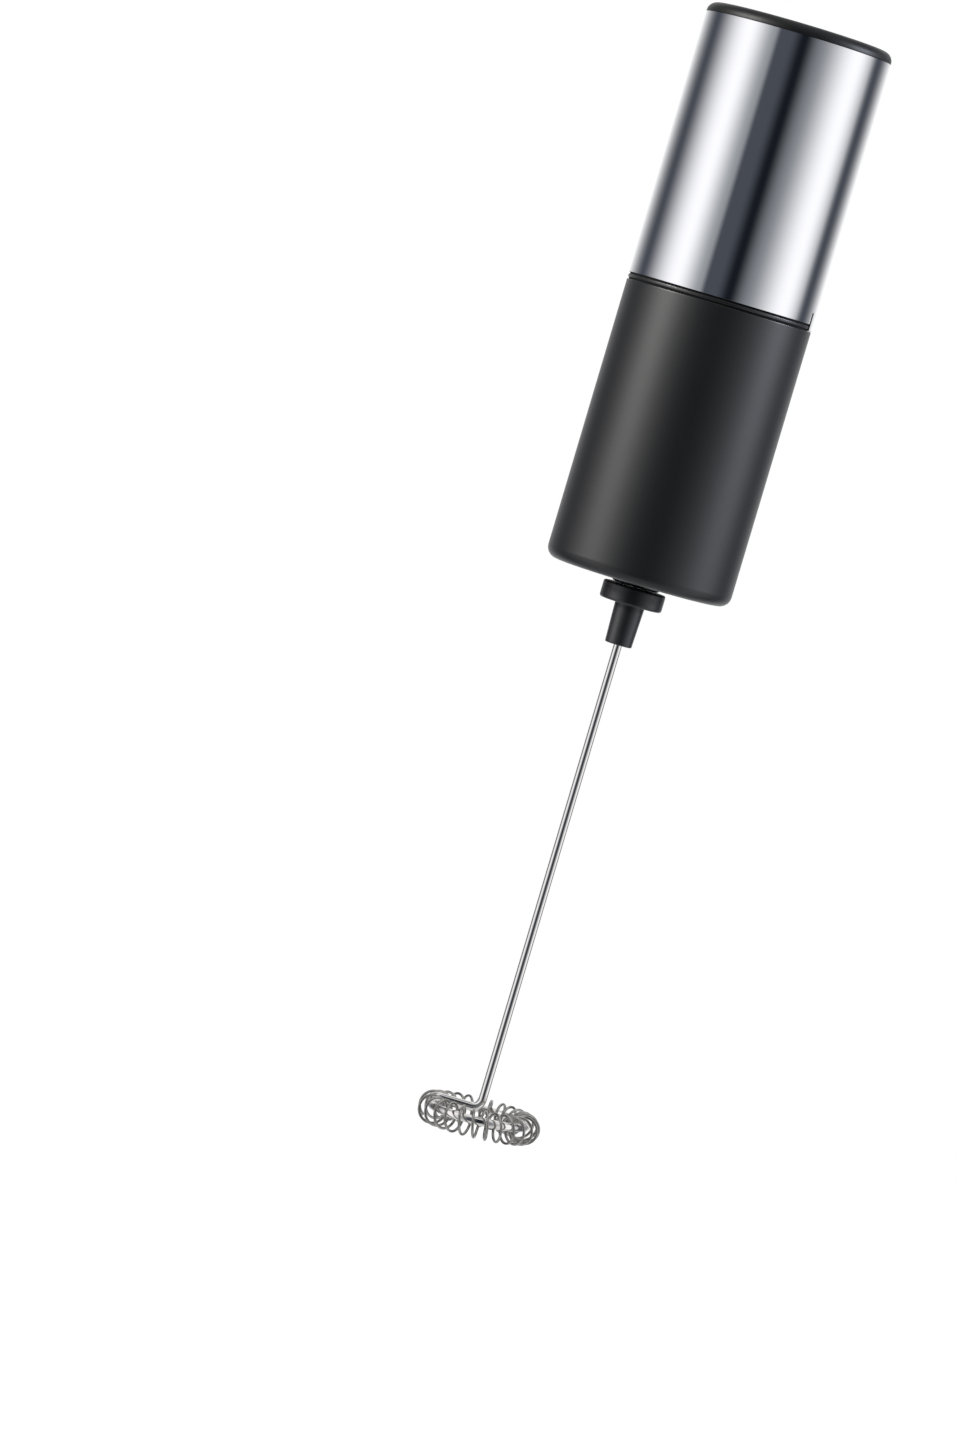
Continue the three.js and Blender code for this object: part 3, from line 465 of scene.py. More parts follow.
def plain_moulding(name, dark, light, roughness):
    """Inner moulding from a plain machined tool: even colour, slight flow clouds, soft gloss."""
    material, tree, shader = surface(name, dark, 0.0, roughness)
    cloud = object_noise(tree, 4.0, 3.0)
    tint(tree, shader, cloud, dark, light)
    vary(tree, shader, "Roughness", cloud, roughness - 0.06, roughness + 0.06)
    relief(tree, shader, object_noise(tree, 0.4), 0.006, 0.3)
    return material


def plated_metal(name, dark, light, roughness):
    """Stamped or turned metal with a thin finish: small colour clouds and uneven gloss."""
    material, tree, shader = surface(name, light, 1.0, roughness)
    cloud = object_noise(tree, 2.2, 4.0)
    tint(tree, shader, cloud, dark, light)
    vary(tree, shader, "Roughness", cloud, roughness - 0.07, roughness + 0.09)
    relief(tree, shader, object_noise(tree, 0.3), 0.004, 0.3)
    return material


def shrink_film():
    # Printed shrink film on a cell, left without print: glossy, with slight ripples where it shrank.
    material, tree, shader = surface("cell_shrink_film", "#1f5f86", 0.0, 0.24,
                                     Coat_Weight=0.4, Coat_Roughness=0.1)
    ripple = object_noise(tree, 3.0, 2.0, (1.0, 1.0, 0.4))
    tint(tree, shader, ripple, "#1b567a", "#236a94")
    relief(tree, shader, ripple, 0.05, 0.25)
    return material


MATERIALS = {
    "polished_steel": polished_stainless(),
    "whisk_steel": drawn_wire(),
    "black_housing": spark_textured_abs(),
    "black_cap": satin_abs(),
    # Glass-filled grey ABS, seen only inside.
    "grey_moulding": plain_moulding("inner_grey_abs", "#232427", "#2b2c30", 0.5),
    # Natural nylon, milky and slightly yellow.
    "white_nylon": plain_moulding("natural_nylon", "#d9d3c2", "#e6e1d3", 0.42),
    # Zinc-plated pressed steel with a blue-white passivation.
    "zinc_steel": plated_metal("zinc_plated_steel", "#9aa0a6", "#b9bdc0", 0.34),
    # Nickel-plated spring steel.
    "spring_nickel": plated_metal("nickel_plated_spring_steel", "#b3b0a8", "#c9c7c0", 0.28),
    # Enamelled or bare copper.
    "copper": plated_metal("enamelled_copper", "#9c5228", "#c4703c", 0.32),
    # Oil-filled sintered bronze, dull and porous.
    "sintered_bronze": plated_metal("sintered_bronze", "#7d5d34", "#9b7747", 0.5),
    # Sintered ferrite magnet, charcoal and dull.
    "ferrite": plain_moulding("sintered_ferrite", "#2b2b2e", "#37373b", 0.72),
    "cell_wrap": shrink_film(),
    # Extruded vinyl insulation.
    "lead_red": plain_moulding("red_vinyl_insulation", "#8d1d18", "#a1261f", 0.45),
    "lead_black": plain_moulding("black_vinyl_insulation", "#161616", "#1d1d1d", 0.45),
}
ACETAL = moulded_acetal()
# Painted shade: near-black for the carrier's shoulder in the seam's grooves.
PAINTED_SEAM_SHADE = painted_seam_shade_abs()
# Dull cut steel, whose dark colour is painted shade on the sleeve's cut ends, slit walls and bevels.
CUT_EDGE_PAINTED_SHADE = sheared_stainless()
COIL_WIRE = spring_wire()
PAPER = plain_moulding("fibre_insulating_ring", "#c9c2ae", "#d8d2c0", 0.7)


# ---------------------------------------------------------------- handle: lower half
def lower_housing():
    bottom, top = HOUSING_LOW.z, HOUSING_HIGH.z
    piece = revolved("housing_shell", [
        (SEAL_HOLE_R, bottom + RECESS_DEPTH, MOULDED_EDGE),
        (RECESS_R, bottom + RECESS_DEPTH, MOULDED_EDGE),
        (RECESS_R, bottom, MOULDED_EDGE),
        (HANDLE_R, bottom, HOUSING_EDGE),
        (HANDLE_R, top, SEAM_EDGE),
        (HANDLE_R - WALL, top, MOULDED_EDGE),
        (HANDLE_R - WALL, bottom + FLOOR, 0.8 * MM),
        (SEAL_HOLE_R, bottom + FLOOR, MOULDED_EDGE),
    ])
    finished(piece, "handle", "black_housing", MATERIALS["black_housing"], "lower_housing")


def shaft_seal():
    neck_r = SEAL_HOLE_R - 2 * HAIR
    under = HOUSING_LOW.z + RECESS_DEPTH - HAIR
    lip = 0.3 * MM
    piece = revolved("shaft_seal_ring", [
        (SHAFT_BORE_R, SEAL_LOW.z, 0.1 * MM),
        (SEAL_HIGH.x, SEAL_LOW.z, lip),
        (SEAL_HIGH.x, under, 0.05 * MM),
        (neck_r, under, 0),
        (neck_r, SEAL_HIGH.z, 0.1 * MM),
        (SHAFT_BORE_R, SEAL_HIGH.z, 0.1 * MM),
    ], SMALL_SEGMENTS)
    finished(piece, "handle", "black_cap", MATERIALS["black_cap"], "shaft_seal")


def pillar_outline(side):
    """The plan of the front (-1) or rear (1) pillar between the cells, as (x, y) points."""
    cusp = math.degrees(math.acos((CELL_X - 0.5 * MM) / CELL_POCKET_R))
    outer = arc(0, 0, CARRIER_R, 90 - PILLAR_HALF_ANGLE, 90 + PILLAR_HALF_ANGLE, 24)
    left = arc(-CELL_X, 0, CELL_POCKET_R, 130, cusp, 20)
    right = arc(CELL_X, 0, CELL_POCKET_R, 180 - cusp, 50, 20)
    return [(x, side * y) for x, y in outer + left + right]


def add_prism(bm, outline, bottom, top):
    low = [bm.verts.new((x, y, bottom)) for x, y in outline]
    high = [bm.verts.new((x, y, top)) for x, y in outline]
    count = len(outline)
    for i in range(count):
        j = (i + 1) % count
        bm.faces.new((low[i], low[j], high[j], high[i]))
    bm.faces.new(low)
    bm.faces.new(high)


def battery_carrier():
    """The moulding that holds the cells; its collar is the black band in the handle's seam."""
    band_bottom = HOUSING_HIGH.z + SEAM_GAP
    band_top = -SEAM_GAP
    notch = LATCH_HALF_ANGLE + LATCH_SLIT_ANGLE
    floor_bottom = CARRIER_LOW.z
    inner, outer = CARRIER_R - BAND_SET_IN, HANDLE_R - BAND_SET_IN
    ring = [
        (CARRIER_INNER_R, SKIRT_BOTTOM, 0),
        (CARRIER_R, SKIRT_BOTTOM, 0),
        (CARRIER_R, SPIGOT_TOP, 0.06 * MM),
        (CARRIER_INNER_R, SPIGOT_TOP, 0.06 * MM),
    ]
    band = [
        (inner, band_bottom, 0),
        (outer, band_bottom, SEAM_EDGE),
        (outer, band_top, SEAM_EDGE),
        (inner, band_top, 0),
    ]
    overlap = 0.2
    shoulders = ((GROOVE_R, notch, 360.0 - notch), (SHOULDER_R, -notch - overlap, notch + overlap))
    bm = bmesh.new()
    spin_outline(bm, rounded(ring), SEGMENTS)
    spin_outline(bm, rounded(band), SEGMENTS, notch, 360.0 - notch)
    for r, start, stop in shoulders:
        low, high = HOUSING_HIGH.z + HAIR, -HAIR
        segments = SEGMENTS if r == GROOVE_R else 24
        spin_outline(bm, [(inner, low), (r, low), (r, high), (inner, high)], segments, start, stop)
    spin_outline(bm, [(0, floor_bottom), (CARRIER_R, floor_bottom),
                      (CARRIER_R, floor_bottom + CARRIER_FLOOR), (0, floor_bottom + CARRIER_FLOOR)], SEGMENTS)
    for side in (-1, 1):
        add_prism(bm, pillar_outline(side), floor_bottom + 0.5 * CARRIER_FLOOR, CARRIER_HIGH.z)
    piece = mesh_from("cell_carrier", bm)
    # The shoulder faces in the seam's grooves take the second material, which is painted shade.
    for material in (MATERIALS["black_housing"], PAINTED_SEAM_SHADE):
        piece.data.materials.append(material)
    for face in piece.data.polygons:
        away = math.hypot(face.center.x, face.center.y)
        if HOUSING_HIGH.z < face.center.z < 0 and SHOULDER_R - HAIR < away < GROOVE_R + HAIR:
            face.material_index = 1
    finished(piece, "handle", "black_housing", MATERIALS["black_housing"], "battery_carrier")


def battery(name, node, up):
    """An AA cell: film-wrapped can, plated ends, a fibre ring round the positive end."""
    low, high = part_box(node)
    centre = (low.x + high.x) / 2
    radius = (high.x - low.x) / 2
    length = high.z - low.z
    shoulder = length - 1.2 * MM
    rim = 0.5 * MM
    crimp = 0.1 * MM
    dip = shoulder - 0.2 * MM
    hollow = 0.25 * MM
    film_r, end_r = radius - 1.0 * MM, radius - 1.3 * MM
    outline = rounded([
        (0, hollow, 0),
        (end_r, hollow, crimp),
        (film_r, 0, 1.5 * crimp),
        (radius, 0, rim),
        (radius, shoulder, rim),
        (film_r, shoulder, 1.5 * crimp),
        (end_r, dip, crimp),
        (NUB_R, dip, crimp),
        (NUB_R, length, 0.4 * MM),
        (0, length, 0),
    ])
    bm = bmesh.new()
    spin_outline(bm, supported(outline, closed=True), SMALL_SEGMENTS, centre=(centre, 0.0))
    turn = Matrix.Identity(4)
    if not up:
        turn = Matrix.Translation((0, 0, length)) @ Matrix.Rotation(math.pi, 4, "X")
    for vert in bm.verts:
        vert.co = turn @ vert.co
        vert.co.z += low.z
    piece = mesh_from(name, bm)
    for material in (MATERIALS["cell_wrap"], MATERIALS["spring_nickel"], PAPER):
        piece.data.materials.append(material)
    for face in piece.data.polygons:
        along = face.center.z - low.z if up else high.z - face.center.z
        away = math.hypot(face.center.x - centre, face.center.y)
        if away < film_r + 0.1 * MM:
            positive = along > length / 2
            face.material_index = 2 if positive and NUB_R + 0.1 * MM < away else 1
    finished(piece, "handle", "cell_wrap", MATERIALS["cell_wrap"], node)


# ---------------------------------------------------------------- cover: steel sleeve, cap and button
def steel_sleeve():
    """The polished tube. The spring latch cut into its lower edge at +X comes down over the band."""
    step = 1.5
    crisp = math.radians(50)
    slit = LATCH_HALF_ANGLE + LATCH_SLIT_ANGLE
    plain = int((360 - 2 * slit) / step)
    angles = [slit + (360 - 2 * slit) * i / plain for i in range(plain + 1)]
    latch_steps = 24
    angles += [360 - LATCH_HALF_ANGLE + 2 * LATCH_HALF_ANGLE * i / latch_steps
               for i in range(latch_steps + 1)]
    margin = 0.4 * MM
    rows = [SLEEVE_LOW.z, SLEEVE_LOW.z + margin, 0.0, margin, LATCH_SLIT_TOP, LATCH_SLIT_TOP + margin,
            SLEEVE_HIGH.z - margin, SLEEVE_HIGH.z]
    bm = bmesh.new()
    columns = []
    for angle in angles:
        x, y = HANDLE_R * math.cos(math.radians(angle)), HANDLE_R * math.sin(math.radians(angle))
        columns.append([bm.verts.new((x, y, z)) for z in rows])
    for i, angle in enumerate(angles):
        following = angles[(i + 1) % len(angles)]
        middle = (angle + following + (360 if following < angle else 0)) / 2
        off = abs((middle + 180) % 360 - 180)
        lowest = 0.0
        if off < LATCH_HALF_ANGLE:
            lowest = SLEEVE_LOW.z
        elif off < slit:
            lowest = LATCH_SLIT_TOP
        here, there = columns[i], columns[(i + 1) % len(angles)]
        for j in range(len(rows) - 1):
            if rows[j] >= lowest - 1e-9:
                bm.faces.new((here[j], there[j], there[j + 1], here[j + 1]))
    loose = [vert for vert in bm.verts if not vert.link_faces]
    bmesh.ops.delete(bm, geom=loose, context="VERTS")
    mesh = bpy.data.meshes.new("sleeve_tube")
    bm.to_mesh(mesh)
    bm.free()
    mesh.polygons.foreach_set("use_smooth", [True] * len(mesh.polygons))
    piece = new_object("sleeve_tube", mesh)
    skin = piece.modifiers.new("skin", "SOLIDIFY")
    skin.thickness = SLEEVE_SKIN
    skin.offset = -1.0
    # The cut ends and slit walls take the second material, dark cut steel that is painted shade.
    skin.material_offset_rim = 1
    for material in (MATERIALS["polished_steel"], CUT_EDGE_PAINTED_SHADE):
        piece.data.materials.append(material)
    apply_modifiers(piece)
    bm = bmesh.new()
    bm.from_mesh(piece.data)
    bm.normal_update()
    # The rim under the cap stays square: no light gets to it.
    lips = [edge for edge in bm.edges
            if len(edge.link_faces) == 2 and edge.calc_face_angle(0.0) > crisp
            and min(vert.co.z for vert in edge.verts) < SLEEVE_HIGH.z - 0.5 * margin]
    # The bevels take the same dark cut steel, painted shade.
    bmesh.ops.bevel(bm, geom=lips, offset=SHEARED_EDGE, segments=2, profile=0.5, affect="EDGES", material=1)
    for face in bm.faces:
        face.smooth = True
    bm.to_mesh(piece.data)
    bm.free()
    piece.data.set_sharp_from_angle(angle=crisp)
    flat = piece.modifiers.new("flat", "WEIGHTED_NORMAL")
    flat.weight = 100
    flat.keep_sharp = True
    apply_modifiers(piece)
    finished(piece, "cover", "polished_steel", MATERIALS["polished_steel"], "steel_sleeve")


def cover_liner():
    piece = revolved("sleeve_liner", [
        (LINER_INNER_R, LINER_LOW.z, MOULDED_EDGE),
        (LINER_HIGH.x, LINER_LOW.z, MOULDED_EDGE),
        (LINER_HIGH.x, LINER_HIGH.z, MOULDED_EDGE),
        (LINER_INNER_R, LINER_HIGH.z, MOULDED_EDGE),
    ])
    finished(piece, "cover", "grey_moulding", MATERIALS["grey_moulding"], "cover_liner")


def end_cap():
    """The black cap: its quarter-round edge meets the steel, and its screw posts reach down inside."""
    rim = SLEEVE_HIGH.z + HAIR
    top = CAP_HIGH.z
    post_top = CAP_WALL_BOTTOM + 0.1 * MM
    bm = bmesh.new()
    spin_outline(bm, supported(rounded([
        (BUTTON_HOLE_R, CAP_WALL_BOTTOM, 0),
        (CAP_SKIRT_INNER_R, CAP_WALL_BOTTOM, 0.3 * MM),
        (CAP_SKIRT_INNER_R, CAP_SKIRT_BOTTOM, 0.1 * MM),
        (CAP_SKIRT_R, CAP_SKIRT_BOTTOM, 0.3 * MM),
        (CAP_SKIRT_R, rim, 0),
        (HANDLE_R, rim, 0.08 * MM),
        (HANDLE_R, top, CAP_EDGE - 0.1 * MM),
        (BUTTON_HOLE_R, top, 0.3 * MM),
    ], 8), closed=True), SEGMENTS)
    for y in (-SCREW_Y, SCREW_Y):
        spin_outline(bm, rounded([
            (SCREW_HOLE_R, CAP_LOW.z, 0.1 * MM),
            (SCREW_POST_R, CAP_LOW.z, 0.1 * MM),
            (SCREW_POST_R, post_top, 0),
            (SCREW_HOLE_R, post_top, 0),
        ]), 32, centre=(0.0, y))
    piece = mesh_from("cap_moulding", bm)
    finished(piece, "cover", "black_cap", MATERIALS["black_cap"], "end_cap")


def push_button():
    """A dished button with three low grip rings, its rim a little under the cap's face."""
    rim_r = BUTTON_R * 0.9
    dish_r = BUTTON_R * 0.88
    slope = (BUTTON_HIGH.z - BUTTON_DISH) / rim_r ** 2
    outline = [Vector((0, BUTTON_LOW.z))] + rounded([
        (BUTTON_STEM_R, BUTTON_LOW.z, 0.15 * MM),
        (BUTTON_STEM_R, BUTTON_FLANGE_BOTTOM, 0.2 * MM),
        (BUTTON_HIGH.x, BUTTON_FLANGE_BOTTOM, 0.15 * MM),
        (BUTTON_HIGH.x, BUTTON_FLANGE_TOP, 0.15 * MM),
        (BUTTON_R, BUTTON_FLANGE_TOP, 0.1 * MM),
        (BUTTON_R, BUTTON_HIGH.z, 0.45 * MM),
        (rim_r, BUTTON_HIGH.z, 0),
        (0, BUTTON_DISH, 0),
    ])[:-2]
    steps = 70
    innermost, outermost, crest = 1.1 * GRIP_PITCH, 4.1 * GRIP_PITCH, 1.6 * GRIP_PITCH
    for i in range(steps + 1):
        r = dish_r * (1 - i / steps)
        height = BUTTON_DISH + slope * r * r
        if innermost < r < outermost:
            wave = 0.5 + 0.5 * math.cos(2 * math.pi * (r - crest) / GRIP_PITCH)
            height += GRIP_HEIGHT * wave ** 2
        outline.append(Vector((r, height)))
    bm = bmesh.new()
    spin_outline(bm, outline, SMALL_SEGMENTS)
    piece = mesh_from("button_cap", bm)
    finished(piece, "button", "black_cap", MATERIALS["black_cap"], "push_button")


# ---------------------------------------------------------------- whisk
def whisk_coupling():
    """A flange and a tapered sleeve, gripping the motor's shaft above and the wire below."""
    top, bottom = COUPLING_HIGH.z, COUPLING_LOW.z
    flange_bottom = top - COUPLING_FLANGE_DEPTH
    flange_r = COUPLING_HIGH.x
    bore = WIRE_R + 2 * HAIR
    piece = revolved("coupling_sleeve", [
        (bore, bottom, 0.06 * MM),
        (COUPLING_TIP_R, bottom, 0.22 * MM),
        (COUPLING_NECK_R, flange_bottom, 0.25 * MM),
        (flange_r, flange_bottom, 0.45 * MM),
        (flange_r, top, 0.35 * MM),
        (SHAFT_BORE_R, top, 0.1 * MM),
        (SHAFT_BORE_R, COUPLING_WEB, 0),
        (bore, COUPLING_WEB, 0),
    ])
    finished(piece, "whisk", "black_housing", ACETAL, "whisk_coupling")


def head_point(x, y, z, centre_z):
    """A point of the whisk's head, which leans a little with its +X side up."""
    leaned = Matrix.Rotation(-HEAD_LEAN, 3, "Y") @ Vector((x, y, z))
    return leaned + Vector((0, 0, centre_z))


def ring_point(degrees):
    angle = math.radians(degrees)
    return head_point(RING_R * math.cos(angle), RING_R * math.sin(angle), 0, RING_Z)


def smooth_path(points, steps):
    """A Catmull-Rom path through the points."""
    path = []
    for i in range(len(points) - 1):
        a, b = points[max(i - 1, 0)], points[i]
        c, d = points[i + 1], points[min(i + 2, len(points) - 1)]
        for step in range(steps):
            t = step / steps
            path.append(0.5 * (2 * b + (c - a) * t + (2 * a - 5 * b + 4 * c - d) * t * t
                               + (3 * b - a - 3 * c + d) * t ** 3))
    path.append(points[-1])
    return path


def whisk_wire():
    """One bent wire: straight stem, arm across, then most of a turn as the ring that carries the coil."""
    stem_end = ARM_Z + ARM_BEND_R
    path = [Vector((0, 0, WIRE_TOP + (stem_end - WIRE_TOP) * i / 24)) for i in range(24)]
    path += [Vector((x, 0, z)) for x, z in arc(-ARM_BEND_R, stem_end, ARM_BEND_R, 0, -90, 14)]
    path += smooth_path([
        Vector((-3.4 * MM, 0, ARM_Z)),
        Vector((ARM_END_X, 0, ARM_Z)),
        Vector((ARM_END_X - 1.4 * MM, 0.2 * MM, ARM_Z - 0.05 * MM)),
        Vector((ARM_END_X - 2.1 * MM, 1.2 * MM, ARM_Z - 0.5 * MM)),
        ring_point(RING_START + 7),
        ring_point(RING_START),
    ], 8)
    steps = 96
    path += [ring_point(RING_START - RING_TURN * i / steps) for i in range(1, steps + 1)]
    piece = swept("stem_and_ring", path, WIRE_R, 24)
    return finished(piece, "whisk", "whisk_steel", MATERIALS["whisk_steel"], "whisk_wire")


def new_tree(name, *sizes):
    """A geometry node tree for a wire: (tree, its named inputs, a function that adds a math node)."""
    tree = bpy.data.node_groups.new(name, "GeometryNodeTree")
    inputs = [(size, "Float") for size in sizes]
    inputs += [("Wire Radius", "Float"), ("Steps", "Int"), ("Sides", "Int"), ("Material", "Material")]
    for label, kind in inputs:
        tree.interface.new_socket(name=label, in_out="INPUT", socket_type=f"NodeSocket{kind}")
    tree.interface.new_socket(name="Geometry", in_out="OUTPUT", socket_type="NodeSocketGeometry")

    def maths(operation, *values):
        return add(tree, "ShaderNodeMath", {"operation": operation}, dict(enumerate(values))).outputs[0]

    return tree, add(tree, "NodeGroupInput").outputs, maths


def end_tree(tree, given, position):
    """Ends a tree with a round wire whose points lie at the given position field."""
    line = add(tree, "GeometryNodeCurvePrimitiveLine", None, {"End": (0.0, 0.0, 1.0)}).outputs["Curve"]
    stations = add(tree, "GeometryNodeResampleCurve", None,
                   {"Curve": line, "Count": given["Steps"]}).outputs[0]
    moved = add(tree, "GeometryNodeSetPosition", None,
                {"Geometry": stations, "Position": position}).outputs[0]
    section = add(tree, "GeometryNodeCurvePrimitiveCircle", None,
                  {"Resolution": given["Sides"], "Radius": given["Wire Radius"]}).outputs["Curve"]
    wire = add(tree, "GeometryNodeCurveToMesh", None,
               {"Curve": moved, "Profile Curve": section, "Fill Caps": True}).outputs[0]
    smooth = add(tree, "GeometryNodeSetShadeSmooth", None, {"Geometry": wire}).outputs[0]
    solid = add(tree, "GeometryNodeRealizeInstances", None, {"Geometry": smooth}).outputs[0]
    dressed = add(tree, "GeometryNodeSetMaterial", None,
                  {"Geometry": solid, "Material": given["Material"]}).outputs[0]
    add(tree, "NodeGroupOutput", None, {"Geometry": dressed})
    return tree


def coil_tree():
    """Geometry nodes for a spring wound round a ring, with every size as a named input."""
    tree, given, maths = new_tree("ring_spring", "Ring Radius", "Coil Radius", "Loops", "Start", "End",
                                  "Lean", "Height", "Phase", "Unevenness", "Seed")
    share = add(tree, "GeometryNodeSplineParameter").outputs["Factor"]
    loops = maths("MULTIPLY_ADD", share, given["Loops"], given["Phase"])
    noise = add(tree, "ShaderNodeTexNoise", {"noise_dimensions": "1D"},
                {"W": maths("ADD", loops, given["Seed"]), "Scale": 0.8})
    sway = maths("MULTIPLY", maths("SUBTRACT", noise.outputs[0], 0.5), given["Unevenness"])
    swept_angle = maths("MULTIPLY", maths("SUBTRACT", given["End"], given["Start"]), share)
    around = maths("ADD", maths("ADD", given["Start"], swept_angle), sway)
    winding = maths("MULTIPLY", loops, -2 * math.pi)
    reach = maths("MULTIPLY", given["Coil Radius"], maths("COSINE", winding))
    radius = maths("ADD", given["Ring Radius"], reach)
    place = add(tree, "ShaderNodeCombineXYZ", None, {
        "X": maths("MULTIPLY", radius, maths("COSINE", around)),
        "Y": maths("MULTIPLY", radius, maths("SINE", around)),
        "Z": maths("MULTIPLY", given["Coil Radius"], maths("SINE", winding)),
    }).outputs[0]
    leaned = add(tree, "ShaderNodeVectorRotate", {"rotation_type": "Y_AXIS"},
                 {"Vector": place, "Angle": maths("MULTIPLY", given["Lean"], -1.0)}).outputs[0]
    lift = add(tree, "ShaderNodeCombineXYZ", None, {"Z": given["Height"]}).outputs[0]
    raised = add(tree, "ShaderNodeVectorMath", {"operation": "ADD"}, {0: leaned, 1: lift}).outputs[0]
    return end_tree(tree, given, raised)


def helix_tree():
    """Geometry nodes for an upright spring, with flatter end turns and a straight tail at its start."""
    tree, given, maths = new_tree("upright_spring", "Centre", "Radius", "Tip Radius", "Turns", "Start",
                                  "From", "To", "Flat Ends", "Even Rise", "Tail", "Tail Share")
    along = add(tree, "GeometryNodeSplineParameter").outputs["Factor"]

    def spread(value, low, high):
        return add(tree, "ShaderNodeMapRange", None,
                   {"Value": value, "From Min": low, "From Max": high}).outputs[0]

    share = spread(along, given["Tail Share"], 1.0)
    climb = spread(share, given["Flat Ends"], maths("SUBTRACT", 1.0, given["Flat Ends"]))
    rise = maths("ADD", maths("MULTIPLY", share, given["Even Rise"]),
                 maths("MULTIPLY", climb, maths("SUBTRACT", 1.0, given["Even Rise"])))
    height = maths("MULTIPLY_ADD", maths("SUBTRACT", given["To"], given["From"]), rise, given["From"])
    tail = maths("SUBTRACT", 1.0, spread(along, 0.0, given["Tail Share"]))
    widening = maths("SUBTRACT", given["Tip Radius"], given["Radius"])
    radius = maths("MULTIPLY_ADD", widening, share, given["Radius"])
    around = maths("MULTIPLY_ADD", maths("MULTIPLY", given["Turns"], 2 * math.pi), share, given["Start"])
    place = add(tree, "ShaderNodeCombineXYZ", None, {
        "X": maths("MULTIPLY_ADD", radius, maths("COSINE", around), given["Centre"]),
        "Y": maths("MULTIPLY", radius, maths("SINE", around)),
        "Z": maths("MULTIPLY_ADD", tail, given["Tail"], height),
    }).outputs[0]
    return end_tree(tree, given, place)


def grown(name, tree, values):
    """The plain mesh that a geometry node tree makes from its named values."""
    holder = new_object(name, bpy.data.meshes.new(name))
    modifier = holder.modifiers.new("grow", "NODES")
    modifier.node_group = tree
    sockets = {item.name: item.identifier for item in tree.interface.items_tree if item.in_out == "INPUT"}
    for key, value in values.items():
        modifier[sockets[key]] = value
    return apply_modifiers(holder)


def springs():
    """The button's return spring, built at rest up from the fixed end that the button press joint gives, and
    the cells' two springs.
    """
    tree = helix_tree()
    joint = next(j for j in frame["record"]["behaviour"]["joints"] if j["name"] == "button_press")
    foot = joint["deforming_nodes"][0]["fixed_end_z_m"]
    clear = SPRING_WIRE_R + HAIR
    low, high = foot + clear, BUTTON_FLANGE_BOTTOM - clear
    touching = 2 * SPRING_WIRE_R + HAIR
    piece = grown("button_return_spring", tree, {
        "Centre": 0.0, "Radius": SPRING_R, "Tip Radius": SPRING_R, "Turns": SPRING_TURNS, "Start": 0.0,
        "From": low, "To": high, "Flat Ends": 1 / SPRING_TURNS,
        "Even Rise": SPRING_TURNS * touching / (high - low),
        "Tail": 0.0, "Tail Share": 0.001, "Wire Radius": SPRING_WIRE_R, "Steps": 240, "Sides": 12,
        "Material": MATERIALS["spring_nickel"],
    })
    finished(piece, "cover", "spring_nickel", MATERIALS["spring_nickel"], "button_spring")
    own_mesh(piece)
    clear = CONTACT_WIRE_R + HAIR
    left_low, left_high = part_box("battery_left")
    right_low, right_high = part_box("battery_right")
    lower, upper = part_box("lower_contact_spring"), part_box("upper_contact_spring")
    floor_top = CARRIER_LOW.z + CARRIER_FLOOR
    for name, node, body, centre, start, stop, tail_end in (
            ("lower_cell_spring", "lower_contact_spring", "handle", (left_low.x + left_high.x) / 2,
             floor_top + clear, left_low.z - clear, lower[0].z),
            ("upper_cell_spring", "upper_contact_spring", "cover", (right_low.x + right_high.x) / 2,
             BASE_BOTTOM - clear, right_high.z + clear, upper[1].z)):
        piece = grown(name, tree, {
            "Centre": centre, "Radius": CONTACT_R, "Tip Radius": CONTACT_TIP_R, "Turns": CONTACT_TURNS,
            "Start": math.pi, "From": start, "To": stop, "Flat Ends": 0.0, "Even Rise": 1.0,
            "Tail": tail_end - start, "Tail Share": 0.04, "Wire Radius": CONTACT_WIRE_R,
            "Steps": 200, "Sides": 12, "Material": MATERIALS["spring_nickel"],
        })
        finished(piece, body, "spring_nickel", MATERIALS["spring_nickel"], node)


def whisk_coil():
    piece = grown("ring_spring", coil_tree(), {
        "Ring Radius": COIL_RING_R, "Coil Radius": COIL_R, "Wire Radius": COIL_WIRE_R,
        "Start": math.radians(COIL_START), "End": math.radians(COIL_END), "Lean": HEAD_LEAN,
        "Loops": COIL_LOOPS, "Phase": COIL_PHASE, "Height": COIL_Z, "Unevenness": math.radians(4.0),
        "Seed": 3.0, "Steps": 1100, "Sides": 12, "Material": COIL_WIRE,
    })
    return finished(piece, "whisk", "whisk_steel", COIL_WIRE, "whisk_coil")


# ---------------------------------------------------------------- CAD nodes that stay
def dress_inner_nodes():
    """Every CAD node that is still shown takes the material of its slot."""
    slots = {entry["node"]: entry["material_slot"] for entry in frame["record"]["subparts"]}
    for name, piece in frame["nodes"].items():
        piece.data.materials.clear()
        piece.data.materials.append(MATERIALS[slots[name]])


# ---------------------------------------------------------------- studio
BACKDROP = "#e6e6e8"
SCREEN = "#fafafe"
FLAG = "#454952"
# What stands between the object and the backdrop, from the rear layer to the front one. Each layer starts
# at the first angle, is solid between the second and third and has faded out by the fourth, in degrees from
# the camera towards +X. An edge of one degree lies hidden behind a layer further forward.
STUDIO = (
    (-174, -118, -61, -60, FLAG),         # dark flag behind the left screen
    (-61, -60, -18, -17, "#8f9398"),      # grey card between the left screen and the lens
    (-29, -21, 7, 8, FLAG),               # dark flag left of the lens
    (7, 8, 120, 121, "#767a80"),          # darker grey card behind the right screen
    (-9, 7, 9, 31, "#161a20"),            # the lens and its shade
    (-118, -61, -60, -27, SCREEN),        # left screen
    (25, 80, 82, 121, SCREEN),            # right screen
    (103, 120, 121, 169, FLAG),           # dark flag behind the right screen
)
STUDIO_GAIN = 1.24
OVERHEAD = "#d4d6da"
UNDERNEATH = "#c4c6c9"


